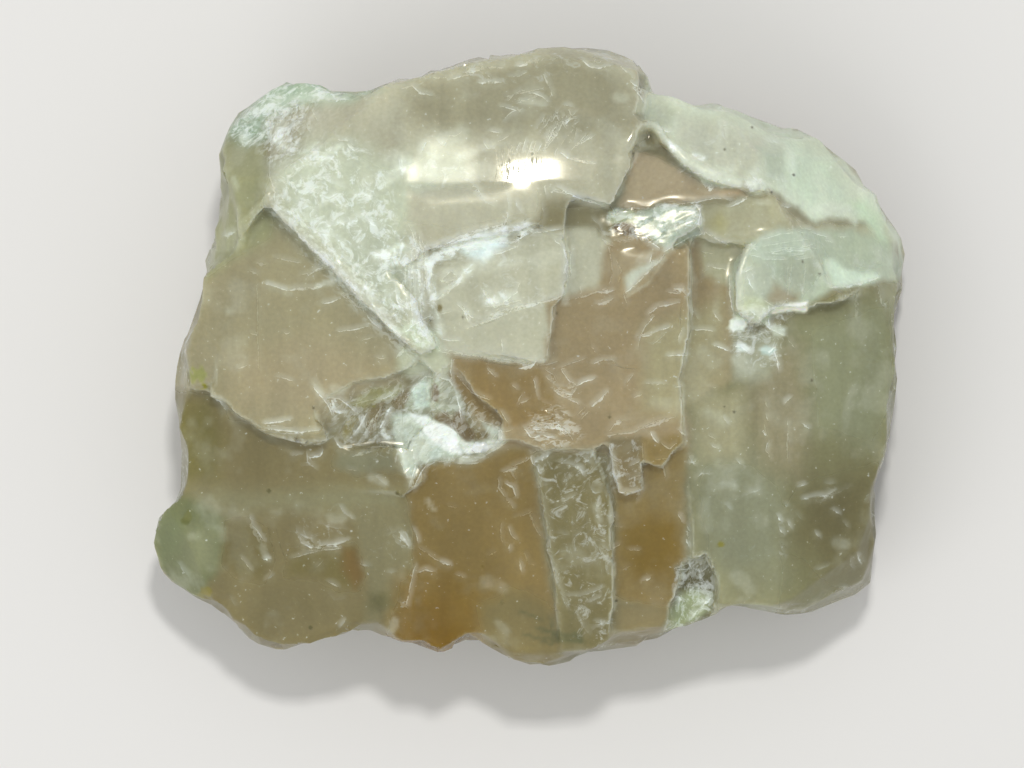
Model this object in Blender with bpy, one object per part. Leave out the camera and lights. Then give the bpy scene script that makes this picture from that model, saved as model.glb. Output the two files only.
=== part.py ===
"""A rough chunk of rose quartz, lying on its flattest broken face.

The stone is one solid. Its broadest outline, the rim, is a curve through hand-set points. A wall rises from
the rim to the upper side, which is made of flat fracture faces with ledges between them, and another falls
from it. Flat breaks then cut across both walls and make the underside, which rests on one of them.
The origin is under the middle of the stone, on the surface that it rests on. +Z is up.
"""

import math

import bmesh
import bpy
import numpy as np
from mathutils import Vector, noise

MM = 0.001

# ---- Driving dimensions, in millimetres ----
LENGTH = 75.2  # along X
WIDTH = 61.3  # along Y
TOP = 32.0  # height of the highest fracture face over the rest face
TRIANGLES = 11800  # left of the fine surface before its foot is cut off, which takes a fifth of them
SKIN_VOXEL = 0.34  # size of the steps in which the fine surface is made into one closed skin

STATIONS = 520  # points round the rim
UPPER_RINGS = 100  # rings from the rim to the middle on the upper side
LOWER_RINGS = 44
RING_CROWDING = 1.35  # above 1, rings lie closer together near the rim
SNAP = 0.34  # points this near the head or foot of a step between two faces are drawn onto it

# The broadest outline, seen from above, counter-clockwise from the right-hand end.
OUTLINE = [
    (37.5, 10.0), (37.0, 12.5), (35.4, 15.2), (32.5, 19.0), (30.0, 21.4), (27.0, 23.1), (25.0, 23.4),
    (21.9, 24.4), (18.9, 25.1), (15.7, 25.3), (13.7, 26.2), (11.7, 26.6), (11.1, 28.3), (9.4, 29.5),
    (6.9, 30.4), (3.7, 30.6), (0.9, 30.3), (-2.1, 29.8), (-5.1, 29.2), (-9.1, 28.1), (-13.1, 27.4),
    (-15.1, 26.8), (-17.3, 26.4), (-20.1, 26.9), (-22.6, 27.4), (-25.4, 26.6), (-28.4, 24.7), (-30.3, 22.1),
    (-30.8, 19.9), (-30.6, 17.9), (-31.0, 14.4), (-31.4, 11.4), (-32.3, 8.8), (-32.9, 5.9), (-33.9, 2.9),
    (-34.7, -0.1), (-35.3, -4.1), (-34.9, -8.1), (-34.8, -11.6), (-35.2, -13.7), (-37.1, -15.6),
    (-37.6, -17.7), (-37.4, -20.1), (-36.1, -22.1), (-34.1, -23.8), (-31.6, -24.8), (-29.1, -26.6),
    (-27.8, -28.2), (-25.6, -28.9), (-23.1, -28.7), (-20.6, -28.0), (-18.3, -27.0), (-16.1, -27.5),
    (-14.6, -28.0), (-11.1, -28.6), (-8.9, -29.1), (-6.6, -28.5), (-4.6, -28.6), (-3.1, -29.1),
    (-1.6, -30.2), (0.4, -30.7), (2.9, -30.1), (5.9, -29.3), (8.9, -28.9), (12.4, -28.2), (15.9, -26.8),
    (18.4, -25.5), (20.4, -24.9), (23.4, -25.4), (26.4, -25.8), (28.9, -25.2), (31.4, -24.5), (33.4, -23.1),
    (34.2, -21.1), (34.4, -18.1), (34.1, -15.1), (34.3, -12.7), (35.3, -10.6), (35.9, -8.1), (36.1, -4.1),
    (36.2, -1.1), (36.4, 3.9), (37.1, 6.9),
]

# By direction from the middle, in degrees from +X: the rim's height, and how far in the wall above it reaches.
RIM_HEIGHT = [
    (0, 7.0), (28, 8.0), (50, 10.5), (64, 13.0), (69, 19.5), (90, 21.0), (112, 20.0), (124, 16.5), (140, 15.5),
    (165, 14.5), (185, 15.5), (200, 13.0), (211, 9.8), (232, 11.0), (250, 13.5), (272, 11.5), (296, 9.0),
    (318, 7.5), (340, 8.5),
]
WALL_REACH = [
    (0, 3.6), (28, 5.0), (50, 5.0), (64, 3.6), (70, 1.8), (90, 1.6), (112, 1.8), (124, 4.5), (140, 5.0),
    (160, 3.0), (185, 2.6), (203, 4.5), (214, 7.0), (235, 4.0), (255, 2.6), (272, 3.4), (300, 3.0), (322, 3.6),
]
WALL_HEIGHT = 27.0  # how high the wall above the rim would go if no fracture face cut it off
FOOT_REACH = 6.0  # how far in the wall below the rim reaches
FOOT_DEPTH = 24.0

# The fracture faces of the upper side, each laid over the ones before it. A face has a border, a point that
# its surface passes through, its rise per millimetre along X and Y, how much it is dished (negative) or
# crowned towards its edges, and how wide the step at its border is. The first one lies under all the rest.
FACES = {
    "ground": dict(
        border=[(-60, -60), (60, -60), (60, 60), (-60, 60)],
        through=(2, 4, 26.0), rise=(-0.02, 0.10), dish=0.6, step=0.9),
    "lower_left": dict(
        border=[(-40, -13.6), (-34.5, -13.3), (-22.5, -12.9), (-12.5, -13.3), (-11.0, -20.0), (-12.4, -23.5),
                (-12.6, -32), (-40, -32)],
        through=(-24, -20, 19.6), rise=(0.24, 0.30), dish=0.4, step=0.9),
    "left_shelf": dict(
        border=[(-40, -3.8), (-31.0, -3.8), (-26.0, -6.5), (-12.0, -6.5), (-10.5, -12.0), (-12.4, -13.5),
                (-22.5, -13.0), (-34.5, -13.4), (-40, -13.5)],
        through=(-22, -11, 22.3), rise=(0.28, 0.10), dish=0.0, step=0.9),
    "lower_middle": dict(
        border=[(-12.5, -13.5), (-10.5, -12.0), (-9.0, -7.0), (4.5, -7.0), (5.0, -33), (-13.0, -33),
                (-12.4, -23.5), (-11.2, -20.0)],
        through=(-5, -18, 21.9), rise=(0.02, 0.27), dish=-0.5, step=0.7),
    "lower_right_window": dict(
        border=[(6.0, -7.0), (17.5, -7.0), (18.5, -33), (6.0, -33)],
        through=(12, -18, 21.8), rise=(-0.03, 0.23), dish=-0.3, step=0.7),
    "centre": dict(
        border=[(-10.0, 2.0), (-3.0, 15.0), (3.0, 18.0), (18.0, 16.0), (16.8, 2.5), (16.0, -2.0), (15.8, -8.8),
                (8.5, -8.2), (5.0, -9.4), (1.5, -9.2), (-2.5, -8.0), (-5.0, -9.0), (-10.0, -8.0)],
        through=(6, 2, 27.0), rise=(-0.04, 0.11), dish=-0.3, step=0.8),
    "slab": dict(
        border=[(0.4, -9.6), (2.6, -8.9), (6.6, -9.3), (7.9, -14.0), (8.2, -20.0), (8.4, -33), (3.2, -33),
                (2.2, -21.0), (1.1, -15.0)],
        through=(4.5, -18, 23.5), rise=(-0.04, 0.20), dish=0.2, step=0.6),
    "left": dict(
        border=[(-40, 32), (-24.0, 32), (-8.0, 8.0), (-8.0, -6.0), (-14.0, -7.0), (-17.0, -8.2), (-22.5, -8.3),
                (-26.0, -7.4), (-29.0, -5.6), (-31.0, -3.9), (-33.5, -3.3), (-40, -3.3)],
        through=(-23, 1, 25.2), rise=(0.27, 0.03), dish=0.3, step=0.8),
    "upper_left_flank": dict(
        border=[(-40, 33), (-25.0, 33), (-25.6, 15.0), (-26.6, 14.8), (-29.0, 11.5), (-33.5, 8.6), (-40, 8.0)],
        through=(-26.4, 18, 29.0), rise=(1.5, 0.0), dish=0.0, step=0.9),
    "right": dict(
        border=[(15.7, 14.0), (40, 14.0), (40, -32), (16.8, -32), (15.0, -25.5), (15.9, -20.0), (15.3, -9.0),
                (14.9, -2.0), (15.7, 2.5)],
        through=(26, -8, 21.6), rise=(-0.31, 0.07), dish=0.5, step=0.9),
    "triangle": dict(
        border=[(7.0, 14.0), (10.0, 21.0), (14.0, 21.5), (19.5, 18.0), (26.0, 17.0), (30.0, 15.0), (29.0, 11.8),
                (21.0, 10.9), (16.0, 11.4), (12.0, 10.4)],
        through=(14, 17.5, 26.0), rise=(-0.12, 0.12), dish=-0.3, step=0.7),
    "corner_chip": dict(
        border=[(15.2, -20.4), (17.2, -19.4), (18.6, -22.0), (18.8, -33), (14.4, -33), (14.2, -24.0)],
        through=(16.5, -23, 19.3), rise=(0.10, 0.36), dish=-1.0, step=0.8),
    "right_arch": dict(
        border=[(20.1, 4.8), (19.9, 8.0), (20.7, 10.6), (22.6, 12.2), (26.5, 13.2), (28.5, 15.0), (42, 14.0),
                (42, 8.0), (36.3, 7.3), (33.2, 6.9), (30.5, 5.7), (27.4, 5.0), (24.0, 4.9), (22.0, 3.1)],
        through=(28, 9.5, 23.6), rise=(-0.28, -0.04), dish=-0.6, step=0.6),
    "upper_right_lobe": dict(
        border=[(10.4, 33), (10.6, 24.0), (13.2, 20.6), (15.2, 18.9), (17.5, 17.5), (20.9, 16.4), (23.3, 16.5),
                (25.2, 15.9), (27.2, 14.2), (29.2, 13.3), (33.0, 12.6), (36.5, 11.0), (42, 10.5), (42, 33)],
        through=(19, 20, 26.0), rise=(-0.42, -0.55), dish=-0.3, step=0.6),
    "spark_block": dict(
        border=[(7.2, 14.3), (9.0, 14.7), (11.5, 14.6), (13.6, 15.2), (16.6, 15.1), (16.9, 13.2), (14.5, 11.7),
                (12.0, 10.5), (9.8, 11.7), (7.3, 11.0)],
        through=(11.5, 13, 28.5), rise=(-0.06, -0.12), dish=-0.3, step=0.6),
    "fallen_flake": dict(
        border=[(8.0, 10.8), (12.0, 10.4), (14.6, 11.7), (11.6, 7.4), (8.8, 5.8), (8.4, 7.6)],
        through=(10.5, 9, 28.3), rise=(0.06, 0.08), dish=0.0, step=0.6),
    "small_block": dict(
        border=[(7.5, -8.0), (10.4, -7.4), (10.9, -10.0), (10.9, -13.2), (8.7, -13.4), (8.0, -10.8)],
        through=(9.2, -10.5, 25.4), rise=(-0.05, 0.12), dish=0.2, step=0.5),
    "small_block_wing": dict(
        border=[(10.4, -7.4), (15.0, -6.0), (15.2, -8.2), (12.8, -10.8), (10.9, -10.2)],
        through=(12.8, -8, 25.7), rise=(-0.05, 0.16), dish=-0.2, step=0.5),
    "middle_plate": dict(
        border=[(-13.5, 8.5), (-10.0, 14.0), (3.4, 14.0), (3.8, 9.0), (3.3, 6.2), (2.5, 5.3), (1.5, -0.4),
                (-0.8, -0.4), (-3.2, 0.0), (-8.6, 0.6), (-9.4, -0.6), (-12.4, 1.0)],
        through=(-3, 5, 29.0), rise=(0.02, 0.11), dish=0.2, step=0.6),
    "scoop_left": dict(
        border=[(-21.5, -4.8), (-17.5, -2.6), (-14.0, -2.0), (-11.0, -0.6), (-8.6, -1.6), (-9.0, -7.5),
                (-12.0, -9.0), (-14.5, -8.6), (-17.5, -8.9), (-20.0, -8.0)],
        through=(-14, -6, 23.9), rise=(0.02, 0.42), dish=-1.5, step=0.7),
    "scoop_right": dict(
        border=[(-9.6, -1.4), (-7.5, -0.6), (-5.6, -3.4), (-2.6, -6.0), (-3.4, -8.2), (-7.0, -8.8),
                (-10.0, -10.6), (-12.6, -11.4), (-11.8, -8.2), (-9.8, -6.0)],
        through=(-7.5, -6, 24.9), rise=(-0.16, 0.42), dish=-2.0, step=0.6),
    "plate": dict(
        border=[(-26.8, 32), (10.9, 32), (11.2, 23.5), (10.5, 20.3), (8.0, 14.9), (5.4, 15.4), (3.6, 15.2),
                (3.3, 11.8), (0.4, 12.7), (-2.0, 12.0), (-5.0, 11.5), (-7.8, 10.9), (-10.2, 10.3), (-13.0, 8.6),
                (-12.0, 18.0), (-13.0, 32)],
        through=(-5, 17, 31.2), rise=(0.012, 0.06), dish=0.3, step=0.6),
    "plate_left_wing": dict(
        border=[(-26.8, 32), (-12.0, 32), (-11.5, 18.0), (-13.5, 8.6), (-11.0, 5.0), (-9.2, 1.2), (-10.8, 0.2),
                (-12.1, 1.2), (-15.0, 4.1), (-18.5, 7.6), (-22.5, 11.6), (-26.0, 15.1), (-26.4, 19.0)],
        through=(-14, 12, 30.4), rise=(0.19, 0.08), dish=0.0, step=0.6),
    "plate_back_slope": dict(
        border=[(-30, 34), (-24.0, 21.5), (-16.0, 19.3), (-6.0, 18.4), (3.0, 18.6), (10.4, 20.2), (11.3, 24.0),
                (10.9, 34)],
        through=(-5, 18.5, 31.3), rise=(0.03, -0.28), dish=0.3, step=1.4),
}

# Flat breaks right across the stone: direction outwards and tilt upwards in degrees (negative below the
# rim), and the height at which the break meets the outermost point of the rim in that direction.
BREAKS = [
    (-12, 8, 12.0), (-19, 28, 13.0), (10, 18, 9.0), (24, 38, 11.5), (50, 28, 13.5), (74, 14, 22.0),
    (84, 27, 24.5), (103, 20, 24.0), (129, 38, 18.5), (152, 12, 18.5), (172, 20, 18.0), (193, 26, 16.5),
    (213, 38, 12.5), (236, 28, 14.5), (257, 12, 15.5), (268, 24, 16.5), (287, 20, 13.5), (312, 30, 11.5),
    (333, 16, 10.5),
    (2, -18, 6.0), (17, -44, 8.0), (40, -30, 9.0), (62, -52, 11.0), (75, -16, 17.5), (93, -38, 19.0),
    (118, -24, 15.0), (140, -46, 14.5), (161, -18, 13.0), (179, -34, 13.5), (201, -14, 10.0), (215, -42, 8.5),
    (239, -26, 9.0), (254, -48, 12.0), (270, -20, 9.5), (292, -40, 8.0), (309, -22, 6.5), (330, -50, 7.0),
    (346, -32, 6.5),
]

GRAIN = 0.20  # how far the broken surface wanders from a true plane, over GRAIN_SIZE
GRAIN_SIZE = 5.5
SWELL = 0.55  # and over SWELL_SIZE
SWELL_SIZE = 15.0
SCOOP = 2.6  # depth of the shell-shaped breaks side by side along the walls
SCOOP_SIZE = 9.0
SCOOP_FREE_RIM = 4.5  # they fade out over this height towards the rim, which keeps its outline
SCOOP_DEEPEST = 0.8  # of a scoop's full hollow, where its bottom is cut off flat
RIM_WAVER = 1.4  # how far the rim rises and falls from RIM_HEIGHT, over RIM_WAVER_SIZE
RIM_WAVER_SIZE = 6.0


def smooth_step(t):
    t = np.clip(t, 0.0, 1.0)
    return t * t * (3 - 2 * t)


def by_direction(table, degrees):
    """A value round the stone, eased between the table's directions."""
    directions = [row[0] for row in table]
    closed = table + [(directions[0] + 360, table[0][1])]
    degrees = np.mod(degrees - directions[0], 360) + directions[0]
    result = np.empty_like(degrees)
    for (a, low), (b, high) in zip(closed, closed[1:]):
        here = (degrees >= a) & (degrees <= b)
        result[here] = low + (high - low) * smooth_step((degrees[here] - a) / (b - a))
    return result


def rim_curve():
    """STATIONS points along a smooth closed curve through OUTLINE, scaled to LENGTH and WIDTH."""
    corners = np.array(OUTLINE)
    before, after, beyond = (np.roll(corners, shift, axis=0) for shift in (1, -1, -2))
    dense = []
    for step in range(12):
        t = step / 12
        dense.append(
            0.5 * (2 * corners + (after - before) * t
                   + (2 * before - 5 * corners + 4 * after - beyond) * t ** 2
                   + (3 * corners - before - 3 * after + beyond) * t ** 3))
    curve = np.stack(dense, axis=1).reshape(-1, 2)
    low, high = curve.min(axis=0), curve.max(axis=0)
    curve = (curve - (low + high) / 2) * (np.array([LENGTH, WIDTH]) / (high - low))
    closed = np.vstack([curve, curve[:1]])
    travelled = np.concatenate([[0], np.cumsum(np.linalg.norm(np.diff(closed, axis=0), axis=1))])
    wanted = np.linspace(0, travelled[-1], STATIONS, endpoint=False)
    return np.column_stack([np.interp(wanted, travelled, closed[:, axis]) for axis in (0, 1)])


def to_border(points, border):
    """(how far each point is inside a closed border, negative outside; the unit direction further inside)"""
    corners = np.asarray(border, float)
    ends = np.roll(corners, -1, axis=0)
    nearest = np.full(len(points), np.inf)
    away = np.zeros_like(points)
    inside = np.zeros(len(points), bool)
    for a, b in zip(corners, ends):
        along = b - a
        share = np.clip((points - a) @ along / (along @ along), 0, 1)
        offset = points - a - share[:, None] * along
        distance = np.linalg.norm(offset, axis=1)
        closer = distance < nearest
        nearest[closer], away[closer] = distance[closer], offset[closer]
        crosses = (a[1] > points[:, 1]) != (b[1] > points[:, 1])
        if a[1] != b[1]:
            where = a[0] + (points[:, 1] - a[1]) * along[0] / along[1]
            inside ^= crosses & (points[:, 0] < where)
    side = np.where(inside, 1.0, -1.0)
    return side * nearest, away * (side / np.maximum(nearest, 1e-9))[:, None]


def wander(points, size, seed):
    """A smooth value between about -1 and 1 for each point, that changes over the given size."""
    return np.array([noise.noise(Vector(p) / size + Vector((seed, 0, 0))) for p in points]) * 1.6


def ridged(points, size, seed):
    """From 0 along sharp ridges to about 1 in the hollows between them."""
    places = points / size + (0, 0, seed)
    near = [noise.voronoi(place)[0] for place in places]
    return np.array([min(second - first, SCOOP_DEEPEST) for first, second, *_ in near])


def wall_scoops(points, level, inwards, reach):
    """How far each point moves towards the middle: shell-shaped breaks on the walls, none on the rim."""
    on_wall = smooth_step(1.6 - inwards / reach)
    off_rim = smooth_step(np.abs(points[:, 2] - level) / SCOOP_FREE_RIM)
    return SCOOP * on_wall * off_rim * ridged(points, SCOOP_SIZE, 7.0)


def drawn_to_steps(points, movable):
    """The points, with those close to the head or foot of a step moved onto it, so that steps run straight."""
    for face in FACES.values():
        inside, inwards = to_border(points, face["border"])
        target = np.where(inside > 0, 0.5, -0.5) * face["step"]
        near = (np.abs(inside) < face["step"] / 2 + SNAP) & movable
        points[near] += 0.9 * (target - inside)[near, None] * inwards[near]
    return points


def upper_side(points):
    """Height of the fracture faces, before the wall at the rim cuts them off."""
    height = np.zeros(len(points))
    for face in FACES.values():
        x, y, z = face["through"]
        away = points - (x, y)
        plane = z + away @ np.array(face["rise"])
        plane -= face["dish"] * (away ** 2).sum(axis=1) / 100
        share = smooth_step(to_border(points, face["border"])[0] / face["step"] + 0.5)
        height = height * (1 - share) + plane * share
    return np.minimum(height, TOP)


def quarter_round(inwards, reach):
    """0 at the rim, rising steeply and then levelling off at 1."""
    return np.sqrt(1 - (1 - np.clip(inwards / reach, 0, 1)) ** 2)


def rings_of(rim, count):
    """Every ring as XY points, from the rim to just short of the middle, and the middle."""
    shares = 1 - (np.arange(count) / count) ** RING_CROWDING
    return np.vstack([(shares[:, None, None] * rim[None]).reshape(-1, 2), [[0.0, 0.0]]])


def rim_values(points, rim):
    """For each XY point: the rim's height in its direction, the wall's reach there, how far inside the rim."""
    degrees = np.degrees(np.arctan2(points[:, 1], points[:, 0]))
    at_rim = np.column_stack([rim, np.zeros(len(rim))])
    rim_degrees = np.degrees(np.arctan2(rim[:, 1], rim[:, 0]))
    order = np.argsort(rim_degrees)
    waver = RIM_WAVER * wander(at_rim, RIM_WAVER_SIZE, 3.0)
    level = by_direction(RIM_HEIGHT, degrees) + np.interp(degrees, rim_degrees[order], waver[order], period=360)
    return level, by_direction(WALL_REACH, degrees), np.maximum(to_border(points, rim)[0], 0)


def both_sides():
    """(points of the upper rings with the rim, then of the lower rings; how many are of the upper rings)"""
    rim = rim_curve()
    upper_xy = rings_of(rim, UPPER_RINGS)
    movable = (np.arange(len(upper_xy)) >= 2 * STATIONS) & (np.linalg.norm(upper_xy, axis=1) > 1.0)
    upper_xy = drawn_to_steps(upper_xy, movable)
    level, reach, inwards = rim_values(upper_xy, rim)
    inwards[:STATIONS] = 0
    upper = np.minimum(upper_side(upper_xy), level + WALL_HEIGHT * quarter_round(inwards, reach))
    lower_xy = rings_of(rim, LOWER_RINGS)[STATIONS:]
    lower_level, _, lower_inwards = rim_values(lower_xy, rim)
    lower = lower_level - FOOT_DEPTH * quarter_round(lower_inwards, FOOT_REACH)
    points = np.vstack([np.column_stack([upper_xy, upper]), np.column_stack([lower_xy, lower])])
    level, inwards = np.append(level, lower_level), np.append(inwards, lower_inwards)
    reach = np.append(reach, np.full(len(lower_xy), FOOT_REACH))
    shift = wall_scoops(points, level, inwards, reach)
    from_middle = np.maximum(np.linalg.norm(points[:, :2], axis=1), 1.0)
    points[:, :2] *= (1 - shift / from_middle)[:, None]
    return points, len(upper_xy)


def cut_flat(mesh, point, normal):
    """Takes off what lies beyond a plane and closes the stone with a flat face."""
    whole = mesh.verts[:] + mesh.edges[:] + mesh.faces[:]
    cut = bmesh.ops.bisect_plane(mesh, geom=whole, dist=1e-7, plane_co=point, plane_no=normal, clear_outer=True)
    edges = [piece for piece in cut["geom_cut"] if isinstance(piece, bmesh.types.BMEdge)]
    bmesh.ops.holes_fill(mesh, edges=edges, sides=0)


def take_breaks_off(mesh):
    """Cuts the flat breaks across the walls."""
    rim = rim_curve()
    for direction, tilt, height in BREAKS:
        a, t = math.radians(direction), math.radians(tilt)
        reach = (rim @ (math.cos(a), math.sin(a))).max()
        point = Vector((reach * math.cos(a), reach * math.sin(a), height)) * MM
        cut_flat(mesh, point, Vector((math.cos(a) * math.cos(t), math.sin(a) * math.cos(t), math.sin(t))))


def broken_surface():
    """A bmesh of the fine surface, in metres, closed at the rim and at both middles."""
    points, upper_count = both_sides()
    points[:, 2] += GRAIN * wander(points, GRAIN_SIZE, 11.0) + SWELL * wander(points, SWELL_SIZE, 5.0)
    mesh = bmesh.new()
    verts = [mesh.verts.new(p * MM) for p in points]

    def at(side, ring, station):
        station %= STATIONS
        if side == "upper" or ring == 0:
            return verts[ring * STATIONS + station]
        return verts[upper_count + (ring - 1) * STATIONS + station]

    sides = (("upper", UPPER_RINGS, verts[upper_count - 1]), ("lower", LOWER_RINGS, verts[-1]))
    for side, rings, middle in sides:
        turn = 1 if side == "upper" else -1
        for ring in range(rings - 1):
            for station in range(STATIONS):
                corners = [at(side, ring, station), at(side, ring, station + 1),
                           at(side, ring + 1, station + 1), at(side, ring + 1, station)]
                mesh.faces.new(corners[::turn])
        for station in range(STATIONS):
            corners = [at(side, rings - 1, station), at(side, rings - 1, station + 1), middle]
            mesh.faces.new(corners[::turn])
    take_breaks_off(mesh)
    return mesh


def quartz_material():
    material = bpy.data.materials.new("rose_quartz")
    material.use_nodes = True
    shader = material.node_tree.nodes["Principled BSDF"]
    shader.inputs["Base Color"].default_value = (0.52, 0.42, 0.36, 1)
    shader.inputs["Roughness"].default_value = 0.28
    shader.inputs["Metallic"].default_value = 0
    shader.inputs["IOR"].default_value = 1.544
    return material


def clear_scene():
    for thing in list(bpy.data.objects):
        bpy.data.objects.remove(thing)


def as_object(surface):
    """A Blender object of a bmesh, in the scene."""
    mesh = bpy.data.meshes.new("rose_quartz")
    surface.to_mesh(mesh)
    surface.free()
    stone = bpy.data.objects.new("rose_quartz", mesh)
    bpy.context.scene.collection.objects.link(stone)
    return stone


def fit_to_size(surface):
    """Scales the finished surface to its driving dimensions, with the origin under its middle."""
    places = np.array([vert.co for vert in surface.verts])
    low, high = places.min(axis=0), places.max(axis=0)
    scale = np.array([LENGTH, WIDTH, TOP]) * MM / (high - low)
    middle = np.array([(low[0] + high[0]) / 2, (low[1] + high[1]) / 2, low[2]])
    for vert in surface.verts:
        vert.co = (np.array(vert.co) - middle) * scale


def make_stone():
    """The finished solid: one closed skin with few triangles, standing on its flat rest face."""
    rough = as_object(broken_surface())
    skin = rough.modifiers.new("one closed skin", "REMESH")
    skin.mode = "VOXEL"
    skin.voxel_size = SKIN_VOXEL * MM
    bpy.context.view_layer.update()
    triangles = 2 * len(rough.evaluated_get(bpy.context.evaluated_depsgraph_get()).data.polygons)
    thinned = rough.modifiers.new("flat faces in few triangles", "DECIMATE")
    thinned.ratio = TRIANGLES / triangles
    bpy.context.view_layer.update()
    surface = bmesh.new()
    surface.from_object(rough, bpy.context.evaluated_depsgraph_get())
    bpy.data.objects.remove(rough)
    cut_flat(surface, Vector((0, 0, 0)), Vector((0, 0, -1)))
    bmesh.ops.triangulate(surface, faces=surface.faces)
    fit_to_size(surface)
    stone = as_object(surface)
    stone.data.materials.append(quartz_material())
    return stone


clear_scene()
make_stone()
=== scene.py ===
import math

import bpy
import numpy as np
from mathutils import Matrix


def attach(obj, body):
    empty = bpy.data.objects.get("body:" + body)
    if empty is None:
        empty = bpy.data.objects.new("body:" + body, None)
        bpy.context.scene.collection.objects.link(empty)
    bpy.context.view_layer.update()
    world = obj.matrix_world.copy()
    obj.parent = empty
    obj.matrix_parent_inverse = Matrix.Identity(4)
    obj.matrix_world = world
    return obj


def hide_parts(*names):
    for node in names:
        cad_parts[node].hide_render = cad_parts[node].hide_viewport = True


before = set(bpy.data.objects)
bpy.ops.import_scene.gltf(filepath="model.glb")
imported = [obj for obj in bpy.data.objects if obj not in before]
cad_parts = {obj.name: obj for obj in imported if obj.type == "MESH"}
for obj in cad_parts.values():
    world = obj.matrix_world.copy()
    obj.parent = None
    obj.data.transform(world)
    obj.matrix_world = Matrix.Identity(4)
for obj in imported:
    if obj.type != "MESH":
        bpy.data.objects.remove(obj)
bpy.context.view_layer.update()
scene = bpy.context.scene
mm = 0.001
farAway = 1e9
print("frame loaded")


def hexToLinear(text):
    # an sRGB hex value as the linear colour that a shader wants
    parts = [int(text[i:i + 2], 16) / 255 for i in (1, 3, 5)]
    return tuple(c / 12.92 if c <= 0.04045 else ((c + 0.055) / 1.055) ** 2.4 for c in parts) + (1.0,)


def selectOnly(obj):
    bpy.ops.object.select_all(action="DESELECT")
    obj.select_set(True)
    bpy.context.view_layer.objects.active = obj


def ease(t):
    t = np.clip(t, 0.0, 1.0)
    return t * t * (3 - 2 * t)


# large odd numbers that stir the place of a cell into a value that looks random
cellPrimes = (73856093, 19349663, 83492791, 50331653)
stirring = (1274126177, 668265263)


def cellValue(cells, salt):
    # a repeatable value from 0 to 1 for each cell of a grid
    x, y, z = (cells[:, i].astype(np.int64) * cellPrimes[i] for i in range(3))
    n = x ^ y ^ z ^ (salt * cellPrimes[3])
    n = ((n ^ (n >> 13)) * stirring[0]) & 0x7fffffff
    n = ((n ^ (n >> 15)) * stirring[1]) & 0x7fffffff
    return ((n ^ (n >> 12)) & 0xffff) / 0xffff


def softNoise(points, size, salt):
    # smooth noise from -1 to 1 that changes over the given size
    places = points / size
    low = np.floor(places)
    share = ease(places - low)
    total = np.zeros(len(points))
    for corner in np.ndindex(2, 2, 2):
        weight = np.prod(np.where(corner, share, 1 - share), axis=1)
        total += weight * cellValue(low + corner, salt)
    return 2 * total - 1


def cloudNoise(points, size, salt, layers):
    # smooth noise with finer and weaker layers of itself on top
    total = np.zeros(len(points))
    for layer in range(layers):
        total += 0.6 ** layer * softNoise(points, size / 2 ** layer, salt + layer)
    return total


def shards(points, size, salt, lean):
    # flat chips side by side, each leaning its own way, with a small step where two meet
    places = points / size
    home = np.floor(places)
    nearest = np.full(len(points), farAway)
    height = np.zeros(len(points))
    for step in np.ndindex(3, 3, 3):
        cell = home + np.array(step) - 1
        seed = np.stack([cellValue(cell, salt + i) for i in range(3)], axis=1)
        away = places - cell - seed
        distance = (away ** 2).sum(axis=1)
        tilt = np.stack([cellValue(cell, salt + 3 + i) for i in range(3)], axis=1) * 2 - 1
        leaning = (away * tilt).sum(axis=1) * lean + (cellValue(cell, salt + 7) - 0.5)
        height = np.where(distance < nearest, leaning, height)
        nearest = np.minimum(nearest, distance)
    return height


def insideOf(points, border):
    # how far each point is inside a closed border, in mm, and negative outside it
    corners = np.asarray(border, float)
    nearest = np.full(len(points), farAway)
    inside = np.zeros(len(points), bool)
    for a, b in zip(corners, np.roll(corners, -1, axis=0)):
        along = b - a
        share = np.clip((points - a) @ along / (along @ along), 0, 1)
        nearest = np.minimum(nearest, np.linalg.norm(points - a - share[:, None] * along, axis=1))
        if a[1] != b[1]:
            crosses = (a[1] > points[:, 1]) != (b[1] > points[:, 1])
            inside ^= crosses & (points[:, 0] < a[0] + (points[:, 1] - a[1]) * along[0] / along[1])
    return np.where(inside, nearest, -nearest)


def nearLine(points, line):
    # distance of each point from an open line, the same with a sign for its side, and its share of the line
    corners = np.asarray(line, float)
    lengths = np.linalg.norm(np.diff(corners, axis=0), axis=1)
    travelled = np.concatenate([[0], np.cumsum(lengths)]) / lengths.sum()
    nearest = np.full(len(points), farAway)
    signed = np.full(len(points), farAway)
    share = np.zeros(len(points))
    for i in range(len(corners) - 1):
        along = corners[i + 1] - corners[i]
        t = np.clip((points - corners[i]) @ along / (along @ along), 0, 1)
        gap = points - corners[i] - t[:, None] * along
        distance = np.linalg.norm(gap, axis=1)
        side = np.where(along[0] * gap[:, 1] - along[1] * gap[:, 0] < 0, -1, 1)
        closer = distance < nearest
        signed = np.where(closer, side * distance, signed)
        share = np.where(closer, travelled[i] + t * (travelled[i + 1] - travelled[i]), share)
        nearest = np.minimum(nearest, distance)
    return nearest, signed, share


def nearBox(points, line, reach):
    # numbers of the points that are within reach of the box round a line
    corners = np.asarray(line, float)
    low = corners.min(axis=0) - reach
    high = corners.max(axis=0) + reach
    return np.nonzero(((points[:, :2] > low) & (points[:, :2] < high)).all(axis=1))[0]


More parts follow.
